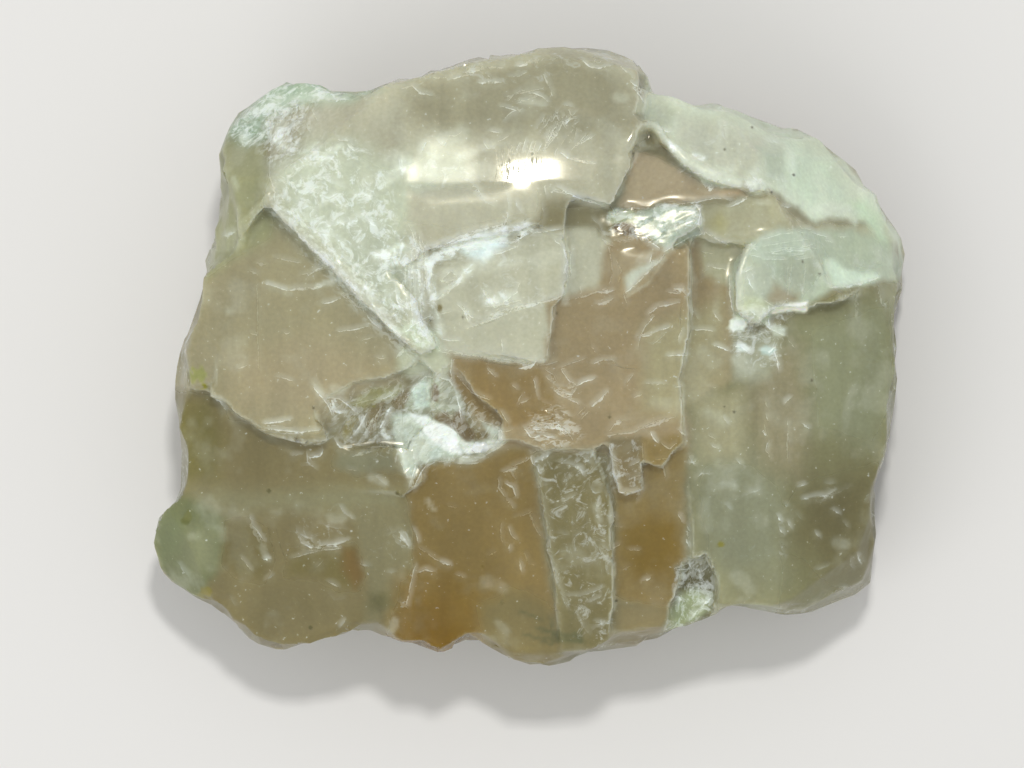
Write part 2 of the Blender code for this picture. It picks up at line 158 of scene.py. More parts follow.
# sizes in mm
stoneSkin = {
    "voxel": 0.32,
    "thinned": 0.385,  # share of the faces that is left after the thinning
    "keptFine": (0.26, 0.29, 0.45),  # what the lower breaks, the sides and the upper faces are spared
    "halfSize": (37, 31), "sideTop": 6,  # where the upper faces end
    "steepen": 0.9, "steepenStep": 0.13, "steepenTurns": 7, "steepenSpread": 8, "steepenBack": 0.04,
    "steepenBelow": 0.93,  # faces that look up less than this
    "notch": (11.5, 21.9), "notchReach": 1.7, "notchFill": 1.0,  # where three ledges meet
    "wave": 0.045, "waveSize": 2.6,  # the slight waviness of a glassy break
    "crackle": 0.20, "crackleSize": 1.3, "crackleLean": 1.3,  # the sparkling crushed patches
    "sliverSize": (1.7, 0.7),  # length and width of a sliver for each mm of crackleSize
    "sideChip": 0.45, "sideChipSize": 4.5, "sideChipLean": 0.9, "sideWave": 0.2, "sideWaveSize": 6.0,
    "smoothAngle": 32,
}

# crushed patches: softness of the edge in mm, how crushed, direction of the slivers in degrees, and the
# border in mm
crushedPatches = {
    "scoopLeft": (1.5, 0.22, 50, (-21, -5), (-17, -3), (-12.5, -2), (-11.5, -6), (-13, -9), (-18, -8.6)),
    "scoopRight": (1, 0.28, 35, (-13, -2), (-9, -1.2), (-6, -4), (-2.6, -6.4), (-4.5, -9.2), (-10, -11),
        (-13, -9)),
    "sparkBlock": (0.8, 0.36, 20, (7, 14.2), (9, 14.8), (13.6, 15.3), (16.8, 15.2), (16.5, 12.8),
        (12, 10.8), (9, 12), (7, 12)),
    "plateLedge": (1, 0.22, 15, (-12, 8.6), (-10.2, 11), (-5, 13), (0.5, 13.8), (1, 12.2), (-4, 10.4),
        (-9, 8.5)),
    "diagonalLedge": (1.6, 0.3, -42, (-25, 16.5), (-18.5, 10.5), (-12, 4), (-9, 2), (-11.5, -0.5),
        (-15.5, 3), (-22, 10), (-26.5, 14.5)),
    "topLeftCorner": (1.6, 0.35, 60, (-30, 24), (-26, 24.5), (-21, 25.5), (-22.5, 20), (-25.5, 19),
        (-27.5, 21)),
    "archFoot": (0.8, 0.15, 10, (19.5, 5), (22, 6), (26, 5.4), (25, 2.6), (22.5, 1.6), (20, 2.4)),
    "cornerChip": (0.8, 0.26, 75, (14.6, -20), (17.8, -19.4), (18.6, -25.5), (13.5, -27), (14.4, -23)),
    "middleChip": (0.8, 0.35, 0, (-0.2, -5.5), (3, -4.5), (5.2, -7.5), (2.5, -9.2), (-0.6, -8)),
    "slabTop": (1, 0.25, 40, (3, -9.2), (8, -9), (8.4, -13), (5, -12), (2, -11)),
}

# the evenly curved crest of the high plate: middle and reach in mm, slopes, and how much they change per mm
crest = {
    "middle": (0.0, 18.1), "reach": (14.0, 4.8), "above": 15,
    "slope": (-0.016, -0.14), "bend": (0.009, 0.023),
    "soft": 2.5,
    "border": [(-18, 15.6), (-9, 14.6), (0.5, 15), (7.6, 14.6), (9.4, 20.2), (10, 24), (-18, 25)],
}


def cleanCopy(node, name):
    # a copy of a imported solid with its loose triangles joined
    selectOnly(node)
    bpy.ops.object.duplicate()
    piece = bpy.context.active_object
    piece.name = name
    piece.data.name = name
    bpy.ops.object.mode_set(mode="EDIT")
    bpy.ops.mesh.select_all(action="SELECT")
    bpy.ops.mesh.remove_doubles(threshold=0.001 * mm)
    bpy.ops.object.mode_set(mode="OBJECT")
    return piece


def pointsOf(piece):
    places = np.empty(len(piece.data.vertices) * 3)
    piece.data.vertices.foreach_get("co", places)
    return places.reshape(-1, 3) / mm


def putPoints(piece, points):
    piece.data.vertices.foreach_set("co", (points * mm).ravel())
    piece.data.update()


def normalsOf(piece):
    normals = np.empty(len(piece.data.vertices) * 3, np.float32)
    piece.data.vertex_normals.foreach_get("vector", normals)
    return normals.reshape(-1, 3).astype(float)


def crushedShare(points):
    # 0 to 1: how crushed the stone is at each point, and which way its slivers run there
    share = np.zeros(len(points))
    angle = np.zeros(len(points))
    for soft, amount, direction, *border in crushedPatches.values():
        here = amount * ease(insideOf(points[:, :2], border) / soft + 0.5)
        angle = np.where(here > share, direction, angle)
        share = np.maximum(share, here)
    return share, angle


def slivers(points, angle, length, width):
    # the points turned into each patch's own direction, and squeezed so that a chip is longer than wide
    turn = np.radians(angle)
    along = points[:, 0] * np.cos(turn) + points[:, 1] * np.sin(turn)
    across = points[:, 1] * np.cos(turn) - points[:, 0] * np.sin(turn)
    return np.stack([along / length, across / width, points[:, 2] / length], axis=1)


def layEvenSkin(piece):
    selectOnly(piece)
    skin = piece.modifiers.new("skin", "REMESH")
    skin.mode = "VOXEL"
    skin.voxel_size = stoneSkin["voxel"] * mm
    bpy.ops.object.modifier_apply(modifier=skin.name)


def inwardShare(points):
    # 1 on the upper faces, and 0 out at the sides
    halfLength, halfWidth = stoneSkin["halfSize"]
    share = ease((0.9 - (points[:, 0] / halfLength) ** 2 - (points[:, 1] / halfWidth) ** 2) / 0.2)
    return share * ease((points[:, 2] - stoneSkin["sideTop"]) / 3)


def thinHiddenSides(piece):
    # leaves the upper side fine, and thins the sides a little, the breaks below more and the rest face most
    up = normalsOf(piece)[:, 2]
    offRest = ease(pointsOf(piece)[:, 2] / 0.4 - 0.5)
    below, aside, above = stoneSkin["keptFine"]
    hidden = 1 - below * offRest - aside * ease((up + 0.6) / 0.4) - above * ease((up - 0.1) / 0.3)
    group = piece.vertex_groups.new(name="thinned")
    for weight in range(1, 11):
        members = np.nonzero(np.round(hidden * 10) == weight)[0]
        group.add(members.tolist(), weight / 10, "REPLACE")
    selectOnly(piece)
    thin = piece.modifiers.new("thinned", "DECIMATE")
    thin.vertex_group = group.name
    thin.ratio = stoneSkin["thinned"]
    bpy.ops.object.modifier_apply(modifier=thin.name)
    piece.vertex_groups.clear()
    points = pointsOf(piece)
    points[:, 2] = np.maximum(points[:, 2], 0)
    putPoints(piece, points)


def notchDistance(points):
    return np.hypot(*(points[:, :2] - stoneSkin["notch"]).T) / stoneSkin["notchReach"]


def steepenLedges(piece):
    # a real break steps down sharply, so the slope of each ledge is drawn together towards its middle
    links = np.empty(len(piece.data.edges) * 2, np.int32)
    piece.data.edges.foreach_get("vertices", links)
    first, second = links.reshape(-1, 2).T
    count = len(piece.data.vertices)
    linked = np.bincount(first, minlength=count) + np.bincount(second, minlength=count)

    def besides(values):
        # the mean of the values at the points next to each point
        total = np.bincount(first, values[second], count)
        total += np.bincount(second, values[first], count)
        return total / linked

    points = pointsOf(piece)
    away = notchDistance(points)
    points[:, 2] += stoneSkin["notchFill"] * ease(1.3 - away) * inwardShare(points)
    putPoints(piece, points)
    outside = ease(1.5 * away - 1)
    most = stoneSkin["steepenStep"]
    for turn in range(stoneSkin["steepenTurns"]):
        points = pointsOf(piece)
        normals = normalsOf(piece)
        level = points[:, 2]
        for spread in range(stoneSkin["steepenSpread"]):
            level = besides(level)
        rise = np.clip(stoneSkin["steepen"] * (points[:, 2] - level), -most, most) - stoneSkin["steepenBack"]
        steep = ease((stoneSkin["steepenBelow"] - normals[:, 2]) / 0.15) * ease((normals[:, 2] - 0.05) / 0.1)
        steep *= inwardShare(points) * outside
        aside = normals[:, :2] / np.maximum(np.linalg.norm(normals[:, :2], axis=1), 0.05)[:, None]
        move = aside * (rise * steep)[:, None]
        for way in (0, 1):
            points[:, way] += 0.5 * (move[:, way] + besides(move[:, way]))
        putPoints(piece, points)


def refineMarked(piece):
    # twice as fine where the stone is crushed or marked
    points = pointsOf(piece)
    upper = normalsOf(piece)[:, 2] > 0
    fine = crushedShare(points)[0] > 0.2
    for marks in whiteMarks.values():
        for strength, width, *line in marks:
            if width < hairWidth:
                near = nearBox(points, line, 0.7)
                fine[near] |= nearLine(points[near, :2], line)[0] < width + 0.26
    for tone, radius, x, y in specks:
        fine |= np.hypot(points[:, 0] - x, points[:, 1] - y) < radius + 0.4
    fine &= upper
    selectOnly(piece)
    bpy.ops.object.mode_set(mode="EDIT")
    bpy.ops.mesh.select_all(action="DESELECT")
    bpy.ops.object.mode_set(mode="OBJECT")
    faces = piece.data.polygons
    faces.foreach_set("select", [all(fine[v] for v in face.vertices) for face in faces])
    bpy.ops.object.mode_set(mode="EDIT")
    bpy.ops.mesh.subdivide(number_cuts=1, ngon=False)
    bpy.ops.object.mode_set(mode="OBJECT")


def smoothCrest(points):
    # lays the crest of the high plate onto one even curve, and tells how much of it each point took on
    away = points[:, :2] - crest["middle"]
    share = ease(1.5 - np.hypot(*(away / crest["reach"]).T)) * (points[:, 2] > crest["above"])
    share *= ease(insideOf(points[:, :2], crest["border"]) / crest["soft"])
    target = away @ crest["slope"] - 0.5 * away ** 2 @ crest["bend"]
    level = np.average(points[:, 2] - target, weights=share)
    points[:, 2] += share * (level + target - points[:, 2])
    return share


def carveSkin(piece):
    points = pointsOf(piece)
    even = smoothCrest(points)
    normals = normalsOf(piece)
    upward = ease((normals[:, 2] - 0.05) / 0.4)
    offRest = ease((points[:, 2] - 0.3) / 1.2)
    lift = stoneSkin["wave"] * (1 - 0.85 * even) * softNoise(points, stoneSkin["waveSize"], 3)
    share, angle = crushedShare(points)
    share = share * upward
    near = share > 0.01
    length, width = (stoneSkin["crackleSize"] * s for s in stoneSkin["sliverSize"])
    turned = slivers(points[near], angle[near], length, width)
    lift[near] += shards(turned, 1.0, 11, stoneSkin["crackleLean"]) * share[near] * stoneSkin["crackle"]
    side = upward < 0.9
    chips = shards(points[side] / (1, 1, 0.7), stoneSkin["sideChipSize"], 31, stoneSkin["sideChipLean"])
    lift[side] += (1 - upward[side]) * stoneSkin["sideChip"] * chips
    lift += stoneSkin["sideWave"] * softNoise(points, stoneSkin["sideWaveSize"], 5) * (1 - upward)
    points += normals * (lift * offRest)[:, None]
    points[:, 2] = np.maximum(points[:, 2], 0)
    putPoints(piece, points)


def makeStone():
    stone = cleanCopy(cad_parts["rose_quartz"], "rose_quartz_stone")
    layEvenSkin(stone)
    steepenLedges(stone)
    layEvenSkin(stone)
    print("skin points", len(stone.data.vertices))
    thinHiddenSides(stone)
    print("thinned points", len(stone.data.vertices))
    refineMarked(stone)
    carveSkin(stone)
    selectOnly(stone)
    bpy.ops.object.shade_smooth_by_angle(angle=math.radians(stoneSkin["smoothAngle"]))
    stone.data.materials.clear()
    print("stone triangles", sum(len(f.vertices) - 2 for f in stone.data.polygons))
    return stone


# laid over one another in this order: colour, milkiness from 0 to 1, roughness, softness of the edge in mm,
# and the border in mm
quartzZones = {
    "centre": ("#b4a47e", 0.25, 0.2, 1.7, (-9, 1), (0, -0.5), (2, 8), (8, 12), (16, 14), (20, 8), (20, 2),
        (19.5, -2.3), (15.5, -5), (15.8, -9), (-4, -9)),
    "centreRight": ("#b7b18b", 0.35, 0.24, 3, (11, 3), (19, 6), (19.5, -2), (15.5, -6), (11, -5)),
    "leftFace": ("#a59f7e", 0.45, 0.24, 1.5, (-40, 12), (-25.2, 14.3), (-20, 10), (-17.8, 7), (-15, 3.6),
        (-13, 1.5), (-12.9, -2.5), (-17, -3.5), (-20, -3.6), (-20.5, -6), (-21, -7.2), (-26, -7),
        (-28, -6.2), (-29.9, -6.1), (-30.4, -5), (-31.4, -3.6), (-40, -3)),
    "leftFaceGlow": ("#afa583", 0.4, 0.24, 5, (-30, 0), (-21, 2), (-14, -1), (-21, -6), (-29, -5)),
    "flank": ("#a7a981", 0.45, 0.3, 1.7, (-32, 22), (-28.5, 21.5), (-26, 20.5), (-25.7, 17), (-25, 14.5),
        (-25.5, 12), (-32, 8), (-36, 12)),
    "leftLow": ("#877d55", 0.4, 0.28, 1.5, (-40, -3.5), (-31.4, -3.7), (-30.3, -5.3), (-29.8, -6.3),
        (-28, -6.4), (-26, -8), (-21, -8), (-12, -9), (-12.5, -14), (-11.5, -20), (-12.5, -24.5),
        (-13.8, -27.5), (-14, -34), (-40, -34)),
    "leftWedge": ("#7b7545", 0.4, 0.28, 3, (-38, -4.5), (-32, -4.5), (-30.5, -8), (-31, -12), (-38, -13)),
    "crease": ("#8d8a68", 0.55, 0.3, 2.9, (-34, -12.6), (-26, -13.2), (-18, -12.6), (-13, -13), (-13, -15),
        (-18, -15.4), (-26, -15), (-34, -15.6)),
    "leftLobe": ("#747a55", 0.6, 0.35, 1.4, (-41, -13), (-34, -13.6), (-31.5, -15), (-30, -16),
        (-30.2, -18.5), (-31, -20.5), (-32, -22.5), (-33.8, -25), (-41, -22)),
    "lobeGlow": ("#8a8e6b", 0.65, 0.35, 2.9, (-34.5, -16.5), (-31, -17), (-31.2, -20.5), (-33.5, -21.5)),
    "firstWindow": ("#837948", 0.2, 0.2, 1.4, (-30.3, -16.2), (-28.2, -15.9), (-26.5, -17), (-25.8, -20),
        (-26.6, -22), (-29, -21.5), (-30.8, -20.5)),
    "secondWindow": ("#867c48", 0.2, 0.2, 1.5, (-23.5, -19.2), (-19, -18.8), (-17.6, -18.6), (-16.8, -21),
        (-17.3, -22.6), (-19, -22.8), (-21, -21.5), (-24, -21.5)),
    "redWindow": ("#8a713b", 0.2, 0.2, 1.3, (-18.5, -18.8), (-17.3, -18.8), (-16.5, -21.5), (-17.5, -22.8),
        (-18.6, -21)),
    "paleSlab": ("#85805e", 0.55, 0.3, 1.3, (-17.6, -14.5), (-13, -14.5), (-11.6, -17), (-11.4, -20),
        (-12, -23), (-12.6, -25.5), (-14, -28), (-17, -27), (-16, -22.5), (-17, -19)),
    "lowerMiddle": ("#a28c52", 0.12, 0.2, 1.2, (-10.2, -10.4), (-6, -10.6), (-3, -9), (-0.3, -9),
        (0.6, -12.5), (0.9, -17), (1.6, -22), (2.5, -25), (-4, -29), (-14, -30), (-12.6, -25), (-11.6, -21),
        (-11.4, -17), (-12.3, -13.4)),
    "amber": ("#957932", 0.15, 0.25, 4, (-13, -22), (-8, -21), (-4.5, -24.5), (-5, -30), (-15, -30)),
    "amberHeart": ("#906f16", 0.15, 0.25, 3, (-12, -25), (-8.5, -24.5), (-6.5, -28), (-9, -31), (-13, -30)),
    "foot": ("#887c50", 0.4, 0.35, 2.3, (-5, -24.5), (-2, -22.5), (1.5, -24), (3, -27), (5.5, -28),
        (12, -27.5), (12, -33), (-4, -33)),
    "slab": ("#7f7851", 0.5, 0.28, 1.1, (0.2, -10), (2.4, -9.3), (6.3, -9.5), (7.3, -12.5), (8.2, -16),
        (8.2, -20), (8.2, -26), (8.6, -32), (3, -32), (2.6, -25), (1.6, -20), (0.9, -15)),
    "rightWindow": ("#a6925c", 0.1, 0.2, 1.1, (8.2, -9), (11, -7.8), (15, -7.5), (15.3, -12), (15.2, -18),
        (14.6, -20.6), (14.3, -23), (13.6, -25), (10.8, -24.4), (8.4, -23.5), (8.4, -18)),
    "windowHeart": ("#9a8038", 0.1, 0.2, 2.5, (9.3, -15.5), (15, -16), (14.8, -21.5), (10.5, -22),
        (9, -19)),
    "rightFoot": ("#938760", 0.45, 0.35, 2, (8.4, -24), (13.6, -24.8), (14, -28), (8, -32)),
    "right": ("#83825e", 0.5, 0.26, 1.3, (15.3, -5), (15.9, -6.6), (16.2, -8), (15.4, -10.5), (15.3, -14),
        (15.5, -17.5), (15.5, -20), (18, -20.5), (18.2, -25), (20, -34), (42, -34), (42, 8), (35, 7.6),
        (33, 7.2), (31, 6.9), (27, 5.2), (24, 2.5), (24.5, 0), (22.5, -2), (19.5, -2.3)),
    "rightPale": ("#929579", 0.55, 0.28, 5, (16.2, -9), (21, -8), (25, -12), (25, -22), (21, -25),
        (18.4, -24), (17, -19), (15.9, -14)),
    "rightWarm": ("#9c9676", 0.45, 0.26, 4, (21.5, 0), (26.5, 1), (28, -6), (26.5, -12), (22.5, -10),
        (21, -5)),
    "rightCool": ("#939777", 0.5, 0.28, 4, (27, 3), (36, 6), (36.5, -4), (34, -9), (28, -7)),
    "rightBeige": ("#aaa785", 0.45, 0.26, 2.5, (15.7, -4), (21, -3), (21, -10), (16.8, -10), (15.8, -7)),
    "rightLow": ("#7c7650", 0.3, 0.3, 6, (27, -13), (34, -11), (36, -22), (30, -22), (26, -18)),
    "rightFootPale": ("#9a9a78", 0.5, 0.3, 3.5, (18, -21), (24, -21), (24, -26), (17, -27)),
    "cornerBase": ("#605e42", 0.5, 0.25, 1.1, (14.2, -20.6), (15.5, -20.2), (17.9, -20.4), (18.1, -22.5),
        (18, -25), (16.5, -27.5), (13, -28), (13.8, -25), (14.6, -22.5)),
    "strip": ("#c8c7a6", 0.25, 0.24, 1.3, (14.5, 15), (19.5, 15), (21.2, 15.8), (23.4, 16.1), (25, 14.9),
        (26.4, 13.4), (28, 13), (30, 13.6), (32.4, 13.2), (36, 12.6), (36, 11.8), (30, 12.4), (26.5, 12.6),
        (24.3, 12.6), (22.5, 11.4), (21, 10.8), (20, 9.4), (19.6, 7), (17, 8), (16.6, 12), (17.4, 12.3)),
    "triangle": ("#dccdaa", 0.15, 0.22, 0.8, (8.4, 14.9), (9.3, 17.4), (10.2, 20.3), (12.6, 19.4),
        (15, 18.1), (16.3, 17.8), (17.3, 16.6), (20.5, 16.7), (21.2, 15.8), (19, 15.9), (16, 15.3),
        (14, 15), (12.3, 15), (10.4, 14.4)),
    "sparkBase": ("#b8c7b3", 0.5, 0.26, 1, (8, 14.4), (10.2, 14.2), (12.4, 15), (16.2, 14.9), (16.8, 12.2),
        (14.6, 11.3), (13.2, 10.4), (12.2, 11), (10.6, 12.6), (9.6, 13.2), (8.2, 13.4), (7.6, 13.6)),
    "arch": ("#b4c1aa", 0.6, 0.28, 1, (19.6, 7.4), (20, 9.2), (21.6, 11), (23.8, 12.4), (26.4, 12.7),
        (30, 12.6), (34.4, 12), (36.4, 10.6), (39, 9), (39, 7.6), (35, 7.8), (33, 7.3), (31, 6.9),
        (29.5, 6.9), (27.4, 5.2), (24, 4.4), (22.6, 3.4), (20.2, 4.2)),
    "archLeft": ("#bec6af", 0.6, 0.28, 1.9, (19.8, 8), (21, 10), (22.6, 9.4), (22.8, 6), (22, 4.2),
        (20.2, 4.6)),
    "archHollow": ("#b6b69b", 0.3, 0.2, 1.3, (23.2, 7.6), (24, 7.4), (24.9, 6.6), (24.8, 5.4), (23.4, 5.3),
        (22.9, 5.8)),
    "lobe": ("#cdd7c1", 0.75, 0.32, 0.9, (10.9, 33), (10.9, 24), (11.8, 22.6), (13.3, 20.6), (14.8, 18.9),
        (16, 18.3), (17, 17.2), (18.5, 16.8), (20.6, 16.8), (21, 17.5), (21.5, 16.2), (23.4, 16.6),
        (25, 15.4), (26.3, 14.9), (27.2, 13.9), (28, 13.4), (29.6, 13.9), (31.4, 13.8), (32.2, 13.2),
        (34, 14.2), (35.5, 13), (36.4, 11), (41, 10), (42, 33)),
    "middlePlate": ("#cacbb2", 0.45, 0.2, 1, (-9.8, 2.5), (-9, 5.4), (-9.4, 9), (-6.6, 10.5), (-2.4, 10.9),
        (0, 12.5), (2.6, 12.4), (6.4, 12.8), (7.4, 11.4), (6.6, 7), (3.4, 6.2), (1.4, 5.4), (1.9, 2.6),
        (1.2, -0.2), (-1, -0.5), (-4, -0.3), (-8.9, 0.6)),
    "plate": ("#c1c0a7", 0.45, 0.16, 1, (-26.2, 15.2), (-25.4, 18.5), (-25.7, 21), (-27, 24), (-22, 28),
        (0, 35), (12, 34), (11, 24), (10.2, 20.2), (9.2, 17.4), (8.3, 14.8), (6, 15.2), (3, 16.2),
        (1.2, 16.6), (0.8, 13.6), (-0.4, 12.8), (-3, 13), (-7.6, 11.5), (-10, 10.6), (-9.8, 2.5),
        (-11.5, 1), (-13, 2), (-15, 4), (-18, 7.4), (-21, 10.2), (-24.4, 13)),
    "plateTop": ("#a8a589", 0.4, 0.16, 3.5, (-12, 27), (3, 30), (11, 28), (10.6, 22), (4, 21), (-2, 22.3),
        (-8, 22), (-12, 23.5)),
    "plateLeft": ("#bac1aa", 0.7, 0.28, 3.5, (-25.5, 19), (-22, 21.5), (-17.5, 21.5), (-14, 19.5),
        (-9, 21.5), (-6, 20.5), (-4, 18.5), (-8, 16.5), (-11, 15), (-12, 12), (-12, 3), (-15, 4.5),
        (-18, 7.6), (-22.5, 11.7), (-25, 14.4)),
    "cornerMilk": ("#9db399", 0.75, 0.38, 2.1, (-32, 22), (-27, 27), (-20, 29), (-15, 26.5), (-18, 25.2),
        (-23, 25), (-26, 23.5), (-26, 21.5), (-28, 21), (-30, 22)),
    "darkWindow": ("#ad9662", 0.1, 0.18, 1, (-7.8, -0.2), (-5, 0), (-2, -0.6), (0.8, -0.9), (1.6, -2.5),
        (2.6, -5.5), (3, -7), (-0.3, -6.2), (-2.8, -7), (-4.8, -6), (-6, -4.4), (-7.4, -3)),
    "greyPatch": ("#c5cbae", 0.5, 0.25, 1.2, (-12.9, 1.1), (-11.9, 1), (-9, 0.8), (-8.4, 0.4), (-7.9, -0.3),
        (-8.3, -1.8), (-10.3, -1.6), (-12, -1.8), (-13, -1)),
    "milkTriangle": ("#c6d2b6", 0.75, 0.25, 1, (-13.8, 3), (-12.9, 3.1), (-11.5, 3.9), (-10.6, 3.2),
        (-9.6, 2.6), (-9, 1.2), (-9, 0.7), (-11.5, 0.9), (-12.2, 2), (-13.2, 2.4)),
    "whiteFlake": ("#c0c7b6", 0.7, 0.22, 0.9, (9.3, 6.4), (10, 7), (11, 8), (11.9, 9), (12.9, 10),
        (12, 9.5), (10.9, 9), (9.8, 8.6), (9.1, 7.7)),
    "iceWhite": ("#e2f4f2", 0.8, 0.22, 1.1, (-6.8, 10.4), (-5.8, 11.5), (-4.4, 12.2), (-3.4, 12),
        (-2.4, 11), (-3.6, 10.6), (-3.8, 9.8), (-4.8, 9.2), (-5.4, 9.6), (-6, 10)),
    "archWedge": ("#d1e2cd", 0.75, 0.25, 1, (29, 9.8), (29.2, 8.4), (29.6, 7.1), (31, 7.1), (33, 7.5),
        (34.5, 8.1), (34, 8.6), (32.6, 8.5), (31, 9), (30, 10)),
    "scoopPlane": ("#c0cdbd", 0.8, 0.22, 1, (-13.8, -5.6), (-12.4, -5.3), (-11, -5.4), (-9.4, -6.2),
        (-8, -7), (-6.9, -7.9), (-5, -8), (-3.4, -7.9), (-3, -7.3), (-2.6, -8.1), (-4, -9.1), (-6.5, -9.3),
        (-8, -9.8), (-10, -10.2), (-11, -10), (-11.6, -11.6), (-12.6, -11), (-13, -9), (-13.6, -7.5)),
    "silverPeak": ("#bec8ae", 0.45, 0.18, 1, (-13, -4.6), (-11.6, -2.8), (-10.4, -1.9), (-8.4, -2.1),
        (-7.2, -3.6), (-7, -5), (-8, -5.4), (-10, -5.3), (-12, -5)),
    "silverTriangle": ("#d3dbc8", 0.6, 0.18, 0.8, (-4.9, -6.2), (-3.9, -6.6), (-2.9, -7), (-3, -7.9),
        (-4, -8), (-4.3, -7.3)),
    "blockPale": ("#897d5a", 0.4, 0.2, 0.9, (7.5, -7.9), (10.9, -7.6), (10.9, -13), (9, -13.4),
        (8.2, -12.5), (7.8, -10)),
    "cornerWhite": ("#99a47e", 0.8, 0.22, 1.2, (14.6, -23.2), (16.4, -22.8), (17.8, -23.4), (17.6, -25),
        (16.2, -26.2), (13.4, -27.4), (13.6, -25.6)),
    "scoopShade": ("#88886a", 0.4, 0.25, 1.6, (-19, -9.2), (-13.4, -9), (-13, -11), (-17, -11.4),
        (-19.5, -10.6)),
    "scoopGreen": ("#9f9e6d", 0.45, 0.25, 0.7, (-17.8, -4.3), (-15.6, -2.9), (-13, -2.7), (-13.2, -3.7),
        (-15, -4.3), (-16.4, -5)),
    "brownWedge": ("#93855c", 0.2, 0.18, 0.4, (-13.7, -4.2), (-12.9, -3.3), (-12, -2.8), (-11.9, -3.4),
        (-12.8, -4.9), (-13.3, -5)),
    "brownShard": ("#948860", 0.2, 0.18, 0.4, (-16.2, -5.6), (-15.4, -4.9), (-14.4, -4.2), (-14.2, -4.9),
        (-15, -6.1), (-15.9, -7.5), (-16.1, -6.7)),
    "leftShard": ("#a59e6c", 0.2, 0.18, 0.5, (-18.7, -7.7), (-18.1, -6.5), (-17.1, -5.5), (-16.9, -6.2),
        (-17.8, -7.7), (-18.4, -8.2)),
    "peakLeft": ("#e1f2e2", 0.5, 0.16, 0.4, (-11.7, -3), (-10.4, -2), (-10, -2.8), (-9.9, -4.7),
        (-11.5, -4.9)),
    "peakSlit": ("#8c7c60", 0.2, 0.16, 0.35, (-10.1, -2.9), (-9.6, -2.6), (-9.1, -3), (-9.1, -4.5),
        (-9.8, -4.3)),
    "peakRight": ("#a6aa91", 0.5, 0.16, 0.4, (-9, -2.4), (-8.2, -2), (-7.4, -3.2), (-7.2, -4.6), (-8.6, -5),
        (-9, -4.4)),
    "brownBay": ("#8c7b57", 0.2, 0.16, 0.4, (-9.5, -6), (-8.6, -5.5), (-7.9, -6.4), (-7.5, -5.4), (-7, -5),
        (-6.6, -5.8), (-6.2, -6.4), (-5.4, -7.4), (-5.6, -8), (-6.4, -8.2), (-7, -7.6), (-8, -7)),
    "brownNook": ("#98895b", 0.2, 0.16, 0.3, (-5.3, -7.3), (-4.6, -7.1), (-4.1, -7.6), (-4.4, -8),
        (-5.6, -8.2)),
    "planeDull": ("#c6cfbd", 0.8, 0.2, 0.6, (-13.6, -5.9), (-12.4, -5.5), (-11.2, -6.4), (-10, -8.6),
        (-10.2, -10.1), (-12.5, -10.6), (-13.4, -8.2)),
    "planeBright": ("#f3f9f5", 0.95, 0.16, 0.5, (-12, -5.4), (-10.6, -5.7), (-9.4, -6.5), (-8.2, -7),
        (-7.2, -7.9), (-7, -9.2), (-8.2, -9.3), (-9.6, -8.2), (-10.8, -6.8)),
    "planeTail": ("#eaf1e9", 0.9, 0.18, 0.4, (-7.2, -8.1), (-5.4, -8.4), (-3.3, -8), (-4.2, -9),
        (-6.6, -9.3)),
    "archBase": ("#bbc4a5", 0.75, 0.24, 0.7, (20, 5.2), (22, 6), (23.4, 5.2), (23.4, 3.2), (22.4, 3.6),
        (21.6, 4.5), (20.3, 4.4)),
    "archCave": ("#a9a286", 0.4, 0.18, 1.3, (23, 6.2), (23.6, 7.4), (25, 7), (26.4, 6.4), (26.2, 5.4),
        (24, 5.2), (23.2, 5.4)),
    "archLip": ("#fbffee", 0.9, 0.18, 0.35, (23.7, 4.9), (25.2, 5.2), (27.3, 5.4), (27.1, 4.7), (25, 4.4),
        (23.9, 4.3)),
    "archPale": ("#a2a48a", 0.6, 0.25, 1.2, (19.6, 2.9), (24.6, 2.6), (24.4, 0.4), (23.8, -1.8), (22, -2.6),
        (19.8, -2.4)),
    "whiteKnob": ("#f0faec", 0.85, 0.2, 0.4, (19.4, 2.8), (19.5, 3.6), (20.1, 4.2), (20.9, 4.1),
        (21.2, 3.4), (20.8, 2.8)),
    "archTongue": ("#b9c0ac", 0.8, 0.2, 0.35, (23.3, 3.1), (24.2, 3.3), (25.3, 2.9), (25, 2.2), (24, 2.4)),
    "iceSpot": ("#aec8c0", 0.9, 0.18, 0.35, (22.6, 1.1), (23.3, 1.4), (24.2, 1), (23.6, 0.3), (22.8, 0.5)),
    "iceSpotLeft": ("#d4e2da", 0.9, 0.18, 0.35, (20.1, 1.4), (21, 1.5), (21.7, 0.9), (21, 0.6),
        (20.3, 0.8)),
    "blockCave": ("#7e6b4d", 0.2, 0.18, 0.35, (8.2, 13.4), (9.8, 13.1), (10.2, 12.6), (10.2, 11.9),
        (8.6, 12), (7.8, 12.5)),
    "blockFlake": ("#b2bb9b", 0.75, 0.18, 0.35, (7.6, 13.4), (7.7, 14.4), (9.8, 14.5), (10.2, 13.9),
        (10, 13.2), (8.6, 13.3)),
    "yellowHint": ("#b4af76", 0.4, 0.24, 1.6, (17.6, 13.3), (18.5, 14), (19.2, 13.2), (18.5, 12.1)),
    "lobeCream": ("#cbcfba", 0.65, 0.28, 2.5, (14.6, 24), (19, 23.4), (22.9, 21.6), (23.5, 18.8),
        (20.6, 17.6), (17, 18.8), (14, 21.3)),
    "lobeGrey": ("#bfc6b0", 0.65, 0.28, 1.6, (11.4, 25.6), (13, 25.8), (14.3, 24), (13.6, 22.2),
        (11.4, 23)),
    "lobeWarm": ("#d2e1ca", 0.7, 0.3, 2.5, (25.3, 21.9), (29.5, 19.5), (31.3, 15.4), (27.7, 14.2),
        (24.7, 17.1)),
